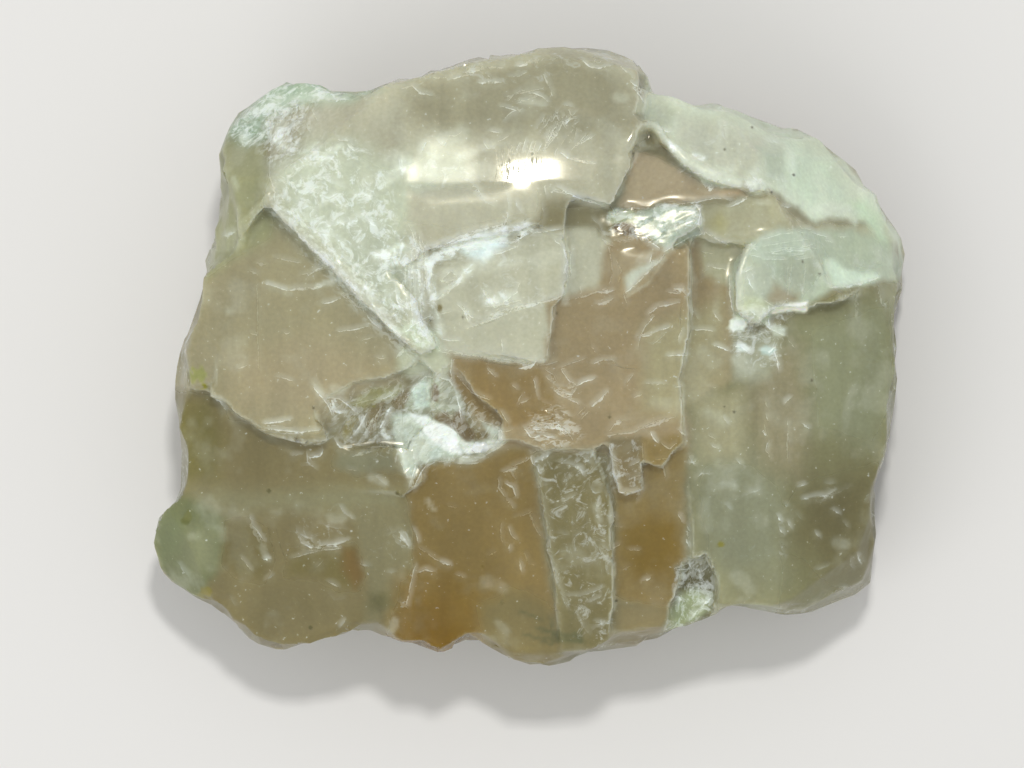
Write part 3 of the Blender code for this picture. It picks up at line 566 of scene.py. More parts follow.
    "lobeRoot": ("#c2ceb9", 0.6, 0.28, 1.6, (22.6, 20.4), (24.6, 20.2), (24.8, 17.8), (23.4, 17.2),
        (22.6, 18.4)),
    "lobeTail": ("#c5d8bb", 0.7, 0.3, 1.6, (31.8, 15.6), (33.6, 16), (35.4, 13.6), (36, 11), (34.4, 11.4),
        (33.4, 13.2)),
    "archRoof": ("#bcc9b5", 0.6, 0.24, 1.4, (21.4, 11.2), (24.4, 12.8), (27.6, 12.6), (28, 10.6),
        (24.6, 10.2), (22.2, 9.4)),
    "archRight": ("#b9c6ac", 0.6, 0.24, 1.6, (28.6, 12.6), (32, 13), (34.6, 11.4), (34.4, 9.8), (31.6, 9.4),
        (29.6, 10.6)),
    "archMiddle": ("#b1baa4", 0.55, 0.24, 1.4, (24.4, 9.8), (27.8, 10.2), (28.6, 8.4), (26.6, 6.6),
        (24.4, 7.2)),
    "archInner": ("#bcc5b1", 0.55, 0.24, 1.2, (21.2, 8.6), (23.4, 9.6), (24, 7.4), (23, 6), (21.2, 6.2)),
    "slabSpot": ("#737049", 0.4, 0.28, 1.4, (-16, -23.4), (-14.4, -23.2), (-13.9, -24.4), (-15, -25.2),
        (-16.2, -24.6)),
    "lobeLeftMoss": ("#788159", 0.6, 0.35, 1.8, (-40, -14.6), (-37, -14.4), (-34.6, -16.6), (-35, -19.4),
        (-37.4, -21), (-40, -19)),
    "crestGlass": ("#c1c0a7", 0.45, 0.09, 3, (-6, 15.5), (-5.5, 21), (6, 21.4), (6.4, 15.5)),
    "crestFoot": ("#c0c0a8", 0.45, 0.38, 1.2, (-12, 16.2), (-6, 16.4), (-2, 16.4), (0.8, 16.6), (0.6, 14.2),
        (-3, 13.6), (-8, 12.6), (-12, 13.4)),
}

stoneTones = {
    # the ledge tone and ledgeFrostAndLight paint the ledge walls pale: partly frost, partly painted light
    # over their shade
    "edge": "#8b8667", "frostAndGlint": "#e6eedf", "slit": "#4f4930", "ledge": "#e4e9d6", "hazy": "#d9ddca",
    "cloud": 0.11, "veil": 0.05, "streak": 0.035, "haze": 0.30, "ledgeFrostAndLight": 0.4,
    "ragged": 0.22, "raggedFine": 0.10,  # how far the borders of the zones wander, in mm
    "slitDepth": 0.7, "speckDepth": 0.85, "speckMilk": 0.9,
}
hairWidth = 0.35
markLook = {
    "boxReach": 1.3,  # how far round a mark the skin may feel it, in mm
    "patch": 0.68, "patchReach": 1.4, "patchMilk": 0.9,
    "thread": 0.9, "threadMean": 0.62, "threadSwing": 0.38, "threadTurn": (37, 53), "threadReach": 1.2,
    "noThread": [9.0, 0.01, 0.0, 9.0],  # signed distance, half width, strength and distance, far from any
    "taper": 0.66, "halo": 0.14, "haloReach": 0.7, "haloFade": 0.8,
}

# cracks and breaks, some painted as if lit, with painted highlights and painted light over a few shaded
# ledges: brightness from 0 to 1, or down to -1 for a dark one, half width in mm, and the points that it runs
# through in mm; wider than hairWidth they are soft patches, and otherwise crisp threads
whiteMarks = {
    "crestStreaks": [
        (-0.6, 0.08, (-2.9, 20), (-3, 17.4)), (-0.6, 0.08, (-2.3, 20.2), (-2.5, 17.6)),
        (-0.7, 0.09, (0.2, 20.2), (0.1, 17)), (-0.5, 0.07, (0.6, 20), (0.4, 17.6)),
        (-0.5, 0.07, (-1.2, 20.4), (-1.4, 17.8)), (-0.4, 0.06, (1.6, 19.6), (1.5, 17.4)),
        (0.8, 0.08, (0.9, 22), (1.9, 23.6)), (0.8, 0.08, (1.5, 20.6), (2.7, 22)),
        (0.9, 0.09, (2.2, 21.4), (3, 22.8), (3.2, 23.6)), (0.8, 0.08, (2.6, 22.6), (4.4, 24)),
        (0.9, 0.1, (3.1, 23.2), (4.2, 23.4)), (0.8, 0.08, (3, 21), (4.4, 22.7)),
        (0.8, 0.08, (4, 20.4), (5.3, 21.8)), (0.7, 0.07, (2, 23.2), (2.6, 24)),
        (0.7, 0.07, (4.9, 21), (6, 21.6)), (0.7, 0.08, (-2.4, 25.6), (-0.6, 26), (1.2, 26.4)),
        (0.6, 0.08, (-1.4, 24.9), (0.6, 25.6)), (0.6, 0.07, (-2.9, 24.6), (-1.2, 24.2)),
        (0.4, 0.4, (-1, 25.2), (1.4, 25)), (0.7, 0.12, (-6.6, 27.9), (-5, 28.2)),
        (0.6, 0.1, (-8, 27.2), (-6.8, 27.6)), (0.35, 0.9, (-10.2, 20.6), (-8.6, 21.4), (-7, 22)),
        (0.7, 0.08, (-5.9, 16.8), (-4.9, 15.6), (-3.9, 14.9)), (0.6, 0.08, (-5.6, 16), (-4.4, 15)),
        (0.9, 0.1, (1.6, 16.4), (3.4, 16)), (0.9, 0.1, (5, 15.6), (6.4, 15.2)),
    ],
    "lobeChips": [
        (0.7, 0.36, (21.2, 17.2), (22.6, 17.4)), (1, 0.1, (21, 16.6), (22.4, 17.2), (23.6, 16.8)),
        (0.9, 0.1, (21.6, 17.9), (22.6, 17.2)), (0.8, 0.09, (20.6, 15.6), (21.4, 16), (22.4, 16.1)),
        (-0.5, 0.1, (22.4, 16.4), (23.4, 16.3)), (0.5, 0.09, (23, 17.9), (25, 17.4)),
        (0.4, 0.5, (25.6, 20.6), (25.8, 18.4)), (0.6, 0.08, (25.4, 20.4), (25.5, 18.6)),
        (0.7, 0.14, (23.6, 21.6), (24.3, 21.3)), (0.8, 0.08, (19, 22.6), (19.1, 22)),
        (0.8, 0.08, (18.8, 23), (19, 23.2)), (0.9, 0.12, (14.9, 18.7), (15.6, 18.2), (16.6, 18.1)),
        (0.9, 0.12, (17, 17.2), (17.6, 16.6), (18, 16.8)), (0.8, 0.1, (18.2, 17), (19.8, 16.9), (21, 16.8)),
    ],
    "archStreaks": [
        (0.7, 0.07, (22.6, 11.6), (24.4, 12.2), (26.4, 12.4)),
        (0.7, 0.07, (22.9, 11), (25, 11.4), (27.2, 11.7)), (0.6, 0.07, (23.4, 10.4), (25.6, 10.8)),
        (0.6, 0.07, (25.4, 12.7), (27.4, 12.2)), (0.6, 0.07, (27.8, 12.4), (29.2, 12)),
        (0.7, 0.08, (26.8, 11), (28.2, 10.8)), (0.4, 0.36, (29.2, 9.6), (29.4, 7.4)),
    ],
    "rightSparks": [
        (0.8, 0.08, (23.1, -4.3), (23.2, -4.6)), (0.7, 0.08, (23.2, -5.7), (23.3, -6)),
        (0.8, 0.09, (22.9, -7.3), (23.1, -7.6)), (0.9, 0.08, (23.3, -8.5), (23.2, -9)),
        (0.8, 0.1, (23.4, -9.5), (23.5, -9.8)), (0.7, 0.16, (27, -6.6), (27.3, -6.8)),
        (0.5, 0.1, (25.4, -7.1), (25.3, -8.4), (25.3, -10)), (0.9, 0.12, (17.6, -7.7), (18, -7.9)),
        (0.8, 0.1, (17.9, -8.7), (18.3, -8.9)), (0.8, 0.09, (17, -11.3), (17.5, -11.2)),
        (0.8, 0.08, (21.6, -13.2), (22.2, -13)), (0.8, 0.09, (24.4, -15.7), (24.6, -16)),
        (0.7, 0.09, (24.6, -16.9), (24.8, -17.2)), (0.8, 0.1, (24.8, -18.3), (25.1, -18.5)),
        (0.7, 0.08, (24.6, -19.3), (24.8, -19.6)), (0.7, 0.08, (25.4, -16.3), (25.6, -16.6)),
        (0.7, 0.08, (28.4, -20.9), (29.4, -20.6)), (0.8, 0.14, (31.7, -20.4), (31.9, -20.7)),
        (0.9, 0.16, (32.5, -19.7), (32.7, -20.2)), (0.8, 0.2, (31, -22.9), (31.4, -23.1)),
        (0.7, 0.08, (30, -15.1), (30.4, -15.3)), (0.7, 0.08, (28.2, -17.4), (28.4, -17.6)),
        (0.8, 0.09, (14.6, -15.6), (14.8, -16)), (0.9, 0.1, (15.4, -16.6), (15.6, -17)),
        (0.9, 0.1, (15.3, -18), (15.5, -18.4)), (0.8, 0.1, (19.3, -14.6), (19.5, -14.8)),
        (0.7, 0.08, (20.4, -10.2), (20.6, -10.4)), (0.7, 0.08, (26.6, -12.6), (27, -12.5)),
        (0.7, 0.08, (19, -6), (19.2, -6.3)),
    ],
    "plateStreaks": [
        (0.6, 0.5, (-15.3, 10.2), (-13.8, 10.5), (-12.4, 10.7)),
        (0.8, 0.09, (-15.6, 10.1), (-14.2, 9.7), (-13, 10)),
        (0.8, 0.08, (-14.8, 10.9), (-13.6, 10.6), (-12.6, 11)),
        (0.45, 0.5, (-15, 9.4), (-12.8, 9), (-11, 9.2)),
        (0.6, 0.07, (-12.4, 9.3), (-12.3, 7.2), (-12.2, 4.9)),
        (0.8, 0.08, (-11.8, 10.4), (-11.6, 8.4), (-11.5, 6)),
        (0.7, 0.07, (-11.2, 11.8), (-11, 9.5), (-10.8, 7.4)),
        (0.9, 0.08, (-10.9, 8.6), (-10.8, 6.8), (-10.5, 4.8)),
        (0.7, 0.07, (-10.3, 11), (-10.4, 8.8), (-10.2, 6.4)),
        (0.6, 0.07, (-12, 8), (-11.9, 6), (-11.7, 4.4)), (0.35, 1, (-11.6, 10.4), (-11.3, 5)),
        (0.7, 0.09, (-13, 2), (-11.5, 3.2), (-10, 4.1)), (0.6, 0.08, (-12.6, 1.2), (-11, 2), (-9.5, 2.6)),
        # a soft pale band along the foot of the diagonal ledge: pale quartz, and painted light over the
        # ledge's shade
        (0.45, 0.45, (-20.9, 10), (-16.6, 5.6), (-12.6, 2)),
    ],
    "ledgeLights": [
        # the first two threads are painted light along the ledge, over the shade at its foot; the others are
        # white breaks
        (1, 0.2, (-9.6, 10.5), (-7, 11.8), (-4.4, 12.6), (-2.8, 13)),
        (0.9, 0.14, (-9, 10.1), (-6.7, 10.8), (-4.4, 11.3)),
        (0.7, 0.42, (-8.4, 10.7), (-6.8, 11.3), (-5, 11.9)),
        (0.9, 0.12, (-4.1, 11.2), (-1.8, 11.3), (-0.4, 12.1)),
        (0.7, 0.4, (-3.4, 12), (-2.2, 11.7), (-0.9, 12.2)),
        (1, 0.22, (-1.2, 12.5), (-0.4, 12.7), (0.1, 12.2)),
        (0.8, 0.08, (-3, 13.1), (-2.9, 12.4), (-3.3, 11.9)),
        (0.8, 0.08, (-2, 12.6), (-1.3, 12.1), (-1.6, 11.5)),
    ],
    "middleLights": [
        (0.5, 0.36, (-9.5, 5.5), (-7.6, 7.2), (-5.6, 9.2)),
        (0.4, 0.85, (-4.4, 6.2), (-2.8, 5.8), (-1.5, 5.4)),
        (0.9, 0.12, (-4.5, 5), (-2.6, 5.3), (-1.2, 5.6)),
        (0.7, 0.08, (-4.8, 6.6), (-4.2, 5.8), (-3.2, 5.4)),
        (0.9, 0.09, (-6.2, 2.9), (-3.8, 3.8), (-1.2, 4.7)),
        (0.8, 0.08, (-1.2, 4.7), (1.2, 5.5), (3.2, 6.2)), (0.45, 0.36, (3.3, 10.8), (3.4, 8.6)),
        (0.7, 0.1, (3.2, 10.6), (3.5, 9.4), (3.2, 8.4)), (0.5, 0.36, (3.2, 7), (3.4, 5.4)),
        (0.7, 0.1, (-8.3, 0.8), (-5.4, 0.2), (-2.5, -0.1), (0.1, -0.4)),
        (0.6, 0.07, (-8.6, 7.8), (-7.8, 8.5), (-7.5, 8.2)), (0.35, 0.6, (-7.2, 8.4), (-4, 9), (-1.4, 9.4)),
    ],
    "corner": [
        (1, 0.6, (-24.9, 21.6), (-24.6, 22.9)), (0.8, 0.45, (-24.9, 21.2), (-24.4, 20.6)),
        (0.5, 0.45, (-26.6, 24.6), (-24.6, 25.2), (-23, 25.7), (-20.6, 25.6)),
        (0.7, 0.3, (-20.5, 25.5), (-18.2, 25.4)), (0.7, 0.4, (-28.6, 21.8), (-27.4, 21.2)),
        (0.7, 0.1, (-28.6, 23), (-27.3, 22.4), (-26.8, 22.1)),
        (0.6, 0.1, (-28.2, 23.5), (-27, 22.9), (-26.2, 22.2)), (0.6, 0.1, (-28.5, 22.5), (-27.4, 21.9)),
        (0.8, 0.08, (-27, 23.9), (-26.2, 24.1), (-25.3, 24)),
        (0.6, 0.1, (-27.8, 24.2), (-26, 24.7), (-24, 24.4)),
        (0.7, 0.12, (-23.6, 24.6), (-22.9, 24.9), (-22.6, 24.1)), (0.6, 0.12, (-21.5, 24.2), (-21.1, 23.5)),
        (0.6, 0.28, (-22, 22.8), (-21.8, 22.4)), (0.35, 0.8, (-22.6, 26), (-20, 26)),
        (0.8, 0.11, (-25.6, 20.1), (-25.7, 18.7), (-25.6, 17.7), (-25.2, 16.5), (-25.1, 15.4)),
        (0.8, 0.26, (-25.3, 16.9), (-25.1, 16.2)), (0.5, 0.35, (-25.9, 14.6), (-25.3, 14.3)),
        (0.35, 0.4, (-29.2, 17.6), (-28.9, 16.9)), (0.5, 0.3, (-30.2, 12.1), (-29.4, 12.4)),
    ],
    "plateLeft": [
        (0.5, 0.55, (-22.2, 18.9), (-21.8, 20), (-21, 20.8)),
        (0.7, 0.28, (-22.7, 17.1), (-21.6, 18), (-20.7, 19.2)),
        (0.8, 0.35, (-20.6, 19.4), (-19.7, 20.3), (-18.6, 20.9)),
        (0.7, 0.1, (-21.2, 18.4), (-19.8, 19.2), (-18.8, 20.4)),
        (0.6, 0.12, (-18.8, 21.3), (-18.1, 21.3), (-17.4, 20.8)), (0.6, 0.12, (-18, 20.9), (-17.4, 20.3)),
        (0.6, 0.1, (-22.7, 15.4), (-22.3, 16.1), (-21.5, 16.4), (-20.7, 16), (-20.5, 15.3), (-21, 14.8),
            (-21.9, 14.8)), (0.6, 0.1, (-23.1, 16.9), (-21.8, 16.8), (-20.6, 16.6)),
        (0.6, 0.4, (-20.2, 15.4), (-19.4, 15.8)), (0.5, 0.12, (-20, 16.5), (-19, 15.6), (-18.4, 14.6)),
        (0.5, 0.35, (-25, 14.8), (-24.4, 14.2), (-23.4, 13.2)),
        (0.8, 0.28, (-19.8, 12.9), (-18.2, 13.2), (-17, 13.4)),
        (0.8, 0.3, (-17, 13.8), (-16, 13.3), (-15.3, 13)), (0.6, 0.14, (-19.4, 17), (-18.5, 16.7)),
        (0.5, 0.14, (-17.6, 16), (-16.4, 16), (-15.3, 15.8)), (0.6, 0.12, (-18.6, 19), (-17.6, 18.7)),
        (0.5, 0.12, (-23.7, 18.5), (-23.4, 18.2)), (0.6, 0.6, (-14.4, 17.2), (-13.4, 17.8), (-12.4, 19)),
        (0.4, 0.14, (-15.8, 15.7), (-15.4, 15.2)), (0.45, 1, (-13.4, 19.6), (-11.8, 18.6), (-10, 18.2)),
        (0.4, 0.7, (-9.4, 18), (-6, 18), (-4.2, 18.5)), (0.4, 0.5, (-7, 19.5), (-5.4, 20.1), (-4, 20.8)),
        (0.6, 0.14, (-10.7, 20.2), (-10.4, 20.9)), (0.7, 0.09, (-9.1, 21.1), (-8.6, 20.7), (-8.3, 21.1)),
        (0.45, 0.4, (-9.8, 19.8), (-8.9, 19.6)), (0.4, 0.08, (-8, 21.7), (-7.3, 21.7), (-6.9, 22)),
        (0.5, 0.1, (-18, 12.9), (-17.2, 12.4), (-16, 12.6)),
        (0.6, 0.1, (-21, 12.2), (-19.6, 12), (-18.4, 11.2)), (0.5, 0.5, (-18.6, 9.6), (-16.8, 8.4)),
        (0.45, 0.9, (-16.5, 6.4), (-14.6, 5.2)), (0.35, 1.2, (-22, 13.4), (-20.4, 12.4)),
    ],
    "plateTop": [
        (0.7, 0.16, (-11.6, 26.6), (-10.9, 25.9), (-9.9, 25.7)),
        (0.95, 0.26, (-4.9, 26.9), (-4, 27), (-3.2, 27)), (0.7, 0.16, (-4.5, 27.9), (-4, 27.4)),
        (0.8, 0.18, (-1.2, 28.6), (-0.5, 28.7)), (0.6, 0.14, (-9.4, 27.4), (-8.4, 27.4)),
        (0.5, 0.14, (-6.8, 27.6), (-5.8, 27.8)), (0.5, 0.09, (-2, 27.5), (-1.1, 27.6), (-0.6, 27.9)),
        (0.6, 0.12, (5.2, 29), (5.8, 28.5), (6.6, 28.4), (7.6, 28.6)),
        (0.6, 0.1, (6.2, 29.2), (6.5, 29.6), (6.9, 29.3), (6.7, 28.9), (6.3, 29)),
        (0.6, 0.12, (8.7, 28.6), (9.4, 28), (9.8, 27.6)),
        (0.8, 0.14, (9.8, 27), (10.4, 26.6), (10.9, 26.2)),
        (0.6, 0.12, (10.1, 26.3), (10.7, 25.7), (11, 25.2)),
        (0.5, 0.14, (1.3, 27.6), (1.6, 26.8), (2, 25.8)),
        (0.9, 0.09, (-0.5, 25.9), (0.4, 25.9), (1, 25.6), (1.5, 25.2)),
        (0.5, 0.07, (-2.2, 25.3), (-1.6, 25.8), (-1.1, 26.2)), (0.5, 0.12, (-1, 25.2), (-0.5, 25.1)),
        (0.5, 0.08, (-1, 24.3), (-2, 24), (-2.6, 23.4)), (0.35, 0.5, (8.6, 25.4), (9.2, 25.5)),
        (0.25, 0.9, (7.2, 22.6), (8.8, 21.2)), (0.35, 0.3, (-0.5, 29), (2.4, 29.4)),
        (0.4, 0.3, (-6.8, 28.3), (-3, 28.4)), (0.3, 0.2, (-12.6, 26.4), (-11.8, 26.6)),
    ],
    "hackles": [
        (0.8, 0.08, (2.4, 24), (2.7, 23.2)), (0.9, 0.09, (2.9, 23.8), (3.1, 23.1), (3.3, 22.6)),
        (0.9, 0.09, (3.2, 22.7), (3.6, 23.2), (3.8, 23.5)), (0.7, 0.08, (3.7, 24.2), (3.9, 23.6)),
        (0.9, 0.11, (4.1, 22.7), (4.5, 23)), (0.7, 0.08, (2.3, 22.4), (2.6, 23)),
        (0.8, 0.08, (1.9, 21.8), (2.3, 22.6)), (0.8, 0.08, (1.5, 21.6), (1.9, 22.4)),
        (0.7, 0.07, (1.6, 21.2), (1.9, 21.8)), (0.8, 0.08, (2.1, 21.6), (2.4, 22.1)),
        (0.5, 0.07, (0.6, 22.5), (1, 23.1), (1.3, 23.6)), (0.7, 0.08, (0, 21), (-0.2, 20.3)),
        (0.7, 0.08, (-0.6, 21.2), (-0.9, 20.2)), (0.6, 0.08, (-1.2, 20.9), (-1.6, 20)),
        (0.7, 0.08, (0.4, 21), (0.1, 20)), (0.8, 0.1, (1.1, 20.3), (1.7, 20.7)),
        (0.7, 0.08, (0.6, 20.1), (0.9, 20.8)), (0.6, 0.08, (2.5, 20.3), (2.2, 19.4)),
        (0.8, 0.12, (3, 20), (3.6, 19.5)), (0.8, 0.14, (-3.8, 22.1), (-3.3, 22)),
        (0.5, 0.1, (-3.1, 21.2), (-2.4, 21.6)), (0.5, 0.08, (-4.6, 21), (-4.2, 20.4), (-3.6, 20.5)),
        (0.6, 0.1, (5.3, 21.2), (5.7, 21.6)), (0.5, 0.08, (4.4, 22.2), (4.2, 21.4)),
        (0.7, 0.1, (3.4, 24.7), (3.8, 24.6)), (0.4, 0.08, (4.4, 20.6), (4.6, 20.9)),
        (0.6, 0.08, (-1.9, 20.6), (-2.2, 19.8)), (0.6, 0.08, (-0.3, 20.1), (-0.5, 19.4)),
        (0.5, 0.08, (1.4, 21), (1.2, 20.2)),
    ],
    # dark slits across the crest's highlight: their rougher skin breaks the real glint, and their dark colour
    # is painted shade; the last, bright mark is a painted tail of the highlight
    "crestGlintMarks": [
        (-0.5, 0.12, (-3.5, 20.4), (-3.3, 18.6), (-3.6, 17)),
        (-0.5, 0.12, (-2.8, 20.2), (-2.9, 18), (-2.7, 16.8)),
        (-0.5, 0.12, (-2.3, 20.6), (-2.1, 18.8), (-2.4, 17)), (-0.5, 0.12, (-1.7, 20), (-1.8, 17.4)),
        (-0.5, 0.12, (-1.2, 20.2), (-1.3, 18.6), (-1.1, 17)), (-0.5, 0.12, (-0.6, 19.8), (-0.7, 17.6)),
        (-0.5, 0.12, (0.1, 20.2), (0, 18.9)), (-0.5, 0.12, (0.9, 19.8), (1.1, 18.4)),
        (0.7, 0.28, (3.9, 19.4), (5.2, 19.1), (6, 19)),
    ],
    "plateFoot": [
        (0.7, 0.1, (-5.8, 16.9), (-5.3, 16.5), (-4.8, 15.8), (-4.5, 15.2), (-3.8, 14.9)),
        (0.5, 0.09, (-2.4, 15.8), (-2.2, 15), (-2.3, 14), (-2.4, 13.3)),
        (0.6, 0.08, (-1.5, 15.3), (-1.4, 14.7), (-1.1, 14.4)), (0.6, 0.12, (1.3, 16.7), (1.4, 15.9)),
        (0.9, 0.16, (2, 16.2), (2.4, 16.4)),
        (0.9, 0.09, (2.6, 16.6), (3.6, 16.1), (4.4, 15.7), (5.2, 15.4), (6, 15.2), (6.8, 15)),
        (0.6, 0.1, (1, 14.9), (1.2, 14.2), (1.1, 13.6), (0.9, 13)), (0.4, 0.14, (-8, 14.9), (-7.6, 14.5)),
        (0.5, 0.08, (6, 13.6), (6.6, 13.1), (7, 12.2)), (-0.5, 0.1, (6.8, 14.9), (7.8, 14.6)),
    ],
    "lobe": [
        # the first two marks are painted highlights along the lobe's lower left edge
        (1, 0.4, (13.4, 21.1), (14, 20.5)), (1, 0.4, (15.8, 20), (16.9, 19.5)),
        (0.9, 0.1, (12.8, 22.4), (13.5, 22.2)), (0.8, 0.2, (23.2, 21.5), (23.8, 21.3)),
        (0.4, 0.45, (22, 18.6), (22.8, 18.3)), (0.9, 0.12, (20.9, 17.6), (21.2, 17), (21.5, 16.3)),
        (0.9, 0.12, (21.3, 17.6), (21.8, 17.2), (22, 16.5)),
        (0.9, 0.12, (21.6, 18), (22.4, 17.2), (23, 16.9)),
        (0.8, 0.1, (22.6, 17.2), (23.3, 17), (23.5, 16.6)), (0.6, 0.1, (24.3, 17.6), (24.9, 17.7)),
        (0.6, 0.14, (25.8, 19.8), (25.8, 18.6)), (0.7, 0.12, (18.9, 22.9), (19.2, 22.9)),
        (0.4, 0.1, (18.8, 22.1), (19, 21.6)), (0.8, 0.12, (14.8, 18.3), (15.3, 18.6), (15.9, 18.2)),
        (0.9, 0.12, (16.6, 17.6), (17.1, 16.8), (17.5, 16.4), (17.9, 16.6)),
        (0.7, 0.16, (17.2, 17.4), (17.8, 17), (18.6, 16.8), (19.6, 16.8), (20.6, 16.8)),
        (0.8, 0.1, (14.2, 15), (15.4, 15.2), (16.6, 15.4), (17.8, 15.7), (18.8, 15.7), (19.5, 15.5)),
        (0.9, 0.16, (19.6, 14.9), (20.3, 15.2), (21, 15.6)), (0.4, 0.35, (22.2, 15.4), (23.2, 15.3)),
        (0.8, 0.12, (24.9, 14.9), (25.4, 14.9)), (0.5, 0.6, (28, 14.6), (30, 15), (31.6, 14.8)),
        (0.5, 0.3, (24.4, 16.6), (26, 15.4), (27.4, 14.2)), (0.4, 0.8, (33, 17), (34, 15.4)),
        (0.5, 0.12, (18, 24.5), (19.4, 24.5)), (0.4, 0.6, (17.6, 18.6), (19.6, 18.2)),
        (0.5, 0.14, (26.2, 13.4), (26.6, 12.8), (27.4, 12.7)),
        (-0.35, 0.5, (16.4, 17), (14.2, 18.9), (13, 20.2)),
    ],
    "leftFace": [
        (0.8, 0.14, (-25.1, 9.8), (-24, 9.6), (-22.9, 9.4)), (0.8, 0.16, (-27.5, 8.5), (-27.1, 8.3)),
        (0.4, 0.3, (-26.8, 9.3), (-26.3, 9.2)), (0.95, 0.18, (-25.9, 7.2), (-25, 6.9), (-24.2, 6.7)),
        (0.9, 0.26, (-23.6, 6.7), (-22.5, 6.8), (-21.4, 6.8), (-20.7, 7)),
        (0.55, 0.35, (-21, 7.1), (-20.3, 7.5), (-19.3, 7.7)),
        (0.8, 0.12, (-22.5, 8.2), (-21.4, 8.4), (-20.5, 8.7), (-19.6, 8.8)),
        (0.7, 0.12, (-21.9, 8.1), (-20.9, 8.8), (-20, 9)),
        (0.9, 0.11, (-20.3, 5.4), (-19.6, 5.5), (-18.8, 5.8)),
        (0.5, 0.07, (-18.8, 2.6), (-17.4, 2.8), (-16.1, 3.1)), (0.7, 0.09, (-16.4, 1.8), (-15.5, 2)),
        (0.9, 0.09, (-15, 0), (-14.5, -0.1)), (0.9, 0.11, (-24.2, 2.4), (-23.9, 2.4)),
        (0.5, 0.08, (-27.6, 2.4), (-27, 2.3)), (0.6, 0.11, (-28.7, -1), (-28.2, -0.8)),
        (0.4, 0.08, (-24.9, -1.9), (-24.2, -2), (-23.6, -2.2)), (0.35, 0.4, (-30, 4.6), (-29.5, 4.8)),
        (0.7, 0.26, (-31.4, -3.9), (-30.8, -4.2), (-30.4, -4.9)),
        (0.8, 0.12, (-26.1, -6.4), (-25, -6.3), (-23.8, -6.1)),
        (0.9, 0.12, (-25.9, -7), (-24.4, -7.1), (-22.6, -7.3), (-21, -7.1)),
        (0.35, 0.3, (-25.5, -7.6), (-24, -7.8), (-22.5, -7.5)),
        (0.2, 0.07, (-27, 7.2), (-26.9, 5), (-26.9, 2), (-26.8, -1)),
        (0.35, 0.14, (-22.8, 10.2), (-21, 9.6), (-20.2, 9)), (0.5, 0.1, (-24.2, 12.8), (-24, 12.6)),
        (0.4, 0.1, (-18.6, 6.2), (-17.6, 5.4), (-16.6, 5.2)),
    ],
    "diagonalLedge": [
        (0.7, 0.3, (-22.6, 11.8), (-20.6, 10), (-19.2, 8.8)),
        (0.8, 0.28, (-18.6, 8.4), (-17.8, 7.4), (-17, 6.4)),
        (0.8, 0.14, (-18.4, 6.4), (-17.4, 6.2), (-16.8, 5.3), (-16.4, 4.6)),
        (0.9, 0.16, (-15.9, 5.4), (-15.2, 4.6), (-14.6, 3.8)),
        (0.9, 0.14, (-16, 4), (-15.5, 3.4), (-15, 3)),
        (0.95, 0.2, (-14.3, 3.5), (-13.5, 2.8), (-12.8, 2.2)),
        (0.6, 0.14, (-17.8, 5.8), (-17, 5), (-16.2, 5)), (0.5, 0.4, (-17.2, 7.8), (-16, 6.4), (-15, 5)),
    ],
    "trunk": [
        (0.8, 0.5, (-9.9, 9.2), (-9.6, 6.8), (-9.4, 4.2), (-9, 2.6)),
        (0.85, 0.45, (-15.4, 10), (-13.8, 10.2), (-12.8, 10.8)), (0.7, 0.28, (-14, 9.2), (-12.9, 9.4)),
        (0.9, 0.26, (-12.5, 9.2), (-11.8, 9.3)), (0.8, 0.22, (-10.2, 9.2), (-9.5, 9.3)),
        (0.7, 0.1, (-13.6, 9), (-11, 9.3), (-9, 9.2)),
        (0.7, 0.14, (-12, 9), (-11.9, 7), (-11.7, 5), (-11.6, 3.5)),
        (0.7, 0.14, (-11.3, 10.5), (-11, 8), (-10.9, 5.5), (-10.6, 3)),
        (0.6, 0.1, (-10.8, 10.8), (-10.6, 9.6), (-10.3, 8)),
        (0.6, 0.1, (-12, 13), (-11.5, 11.9), (-11.2, 10.8)),
        (0.6, 0.1, (-11, 12), (-10.8, 11), (-10.4, 10)),
        (0.9, 0.16, (-13.3, 6.6), (-13.1, 5.6), (-12.8, 4.9)), (0.6, 0.12, (-12.5, 7.6), (-12.7, 7)),
        (0.5, 0.35, (-11.2, 8.6), (-11.2, 6), (-11, 3.4)),
        (0.6, 0.12, (-12.4, 10.9), (-11.6, 10.6), (-10.8, 10.9)),
    ],
    "plateLedge": [
        # the first, wide mark is white crackle along the ledge wall, and also painted light that lifts the
        # wall's shade
        (0.9, 0.6, (-10.4, 9.3), (-7, 10.9), (-3.6, 12.1), (-0.6, 12.8)),
        (0.9, 0.12, (-9.6, 10.9), (-8.6, 11), (-7.2, 11.6), (-5.6, 12.2), (-4, 12.6), (-2.8, 13.1)),
        (0.9, 0.14, (-9.3, 10), (-8.5, 10.5), (-7.4, 11), (-6.4, 11.3)),
        (0.6, 0.1, (-7, 11.9), (-5.5, 12.4), (-3.4, 12.9)),
        (0.8, 0.2, (-3.3, 11.5), (-2.4, 11.3), (-1.4, 11.3)),
        (1, 0.32, (-1.2, 12), (-0.6, 12.5), (0, 12.6)),
        (0.8, 0.14, (-3.4, 12.4), (-2.7, 12.9), (-2.5, 13.5)),
        (0.7, 0.12, (-3.7, 10.1), (-2.6, 10.4), (-1.6, 10.8)),
        (0.9, 0.5, (-5.9, 10.6), (-4.8, 11.2), (-4, 11.6)), (0.7, 0.4, (-4.6, 9.6), (-4.2, 10.4)),
        (0.7, 0.1, (-9.8, 10.6), (-9.2, 9.6), (-9.8, 8.6)), (0.6, 0.1, (-8.8, 10.4), (-7.8, 9.9)),
        (0.6, 0.12, (0.4, 12.2), (1.6, 12.4), (2.8, 12.6)), (0.5, 0.1, (2.4, 11.4), (2.8, 11.1)),
    ],
    "middlePlate": [
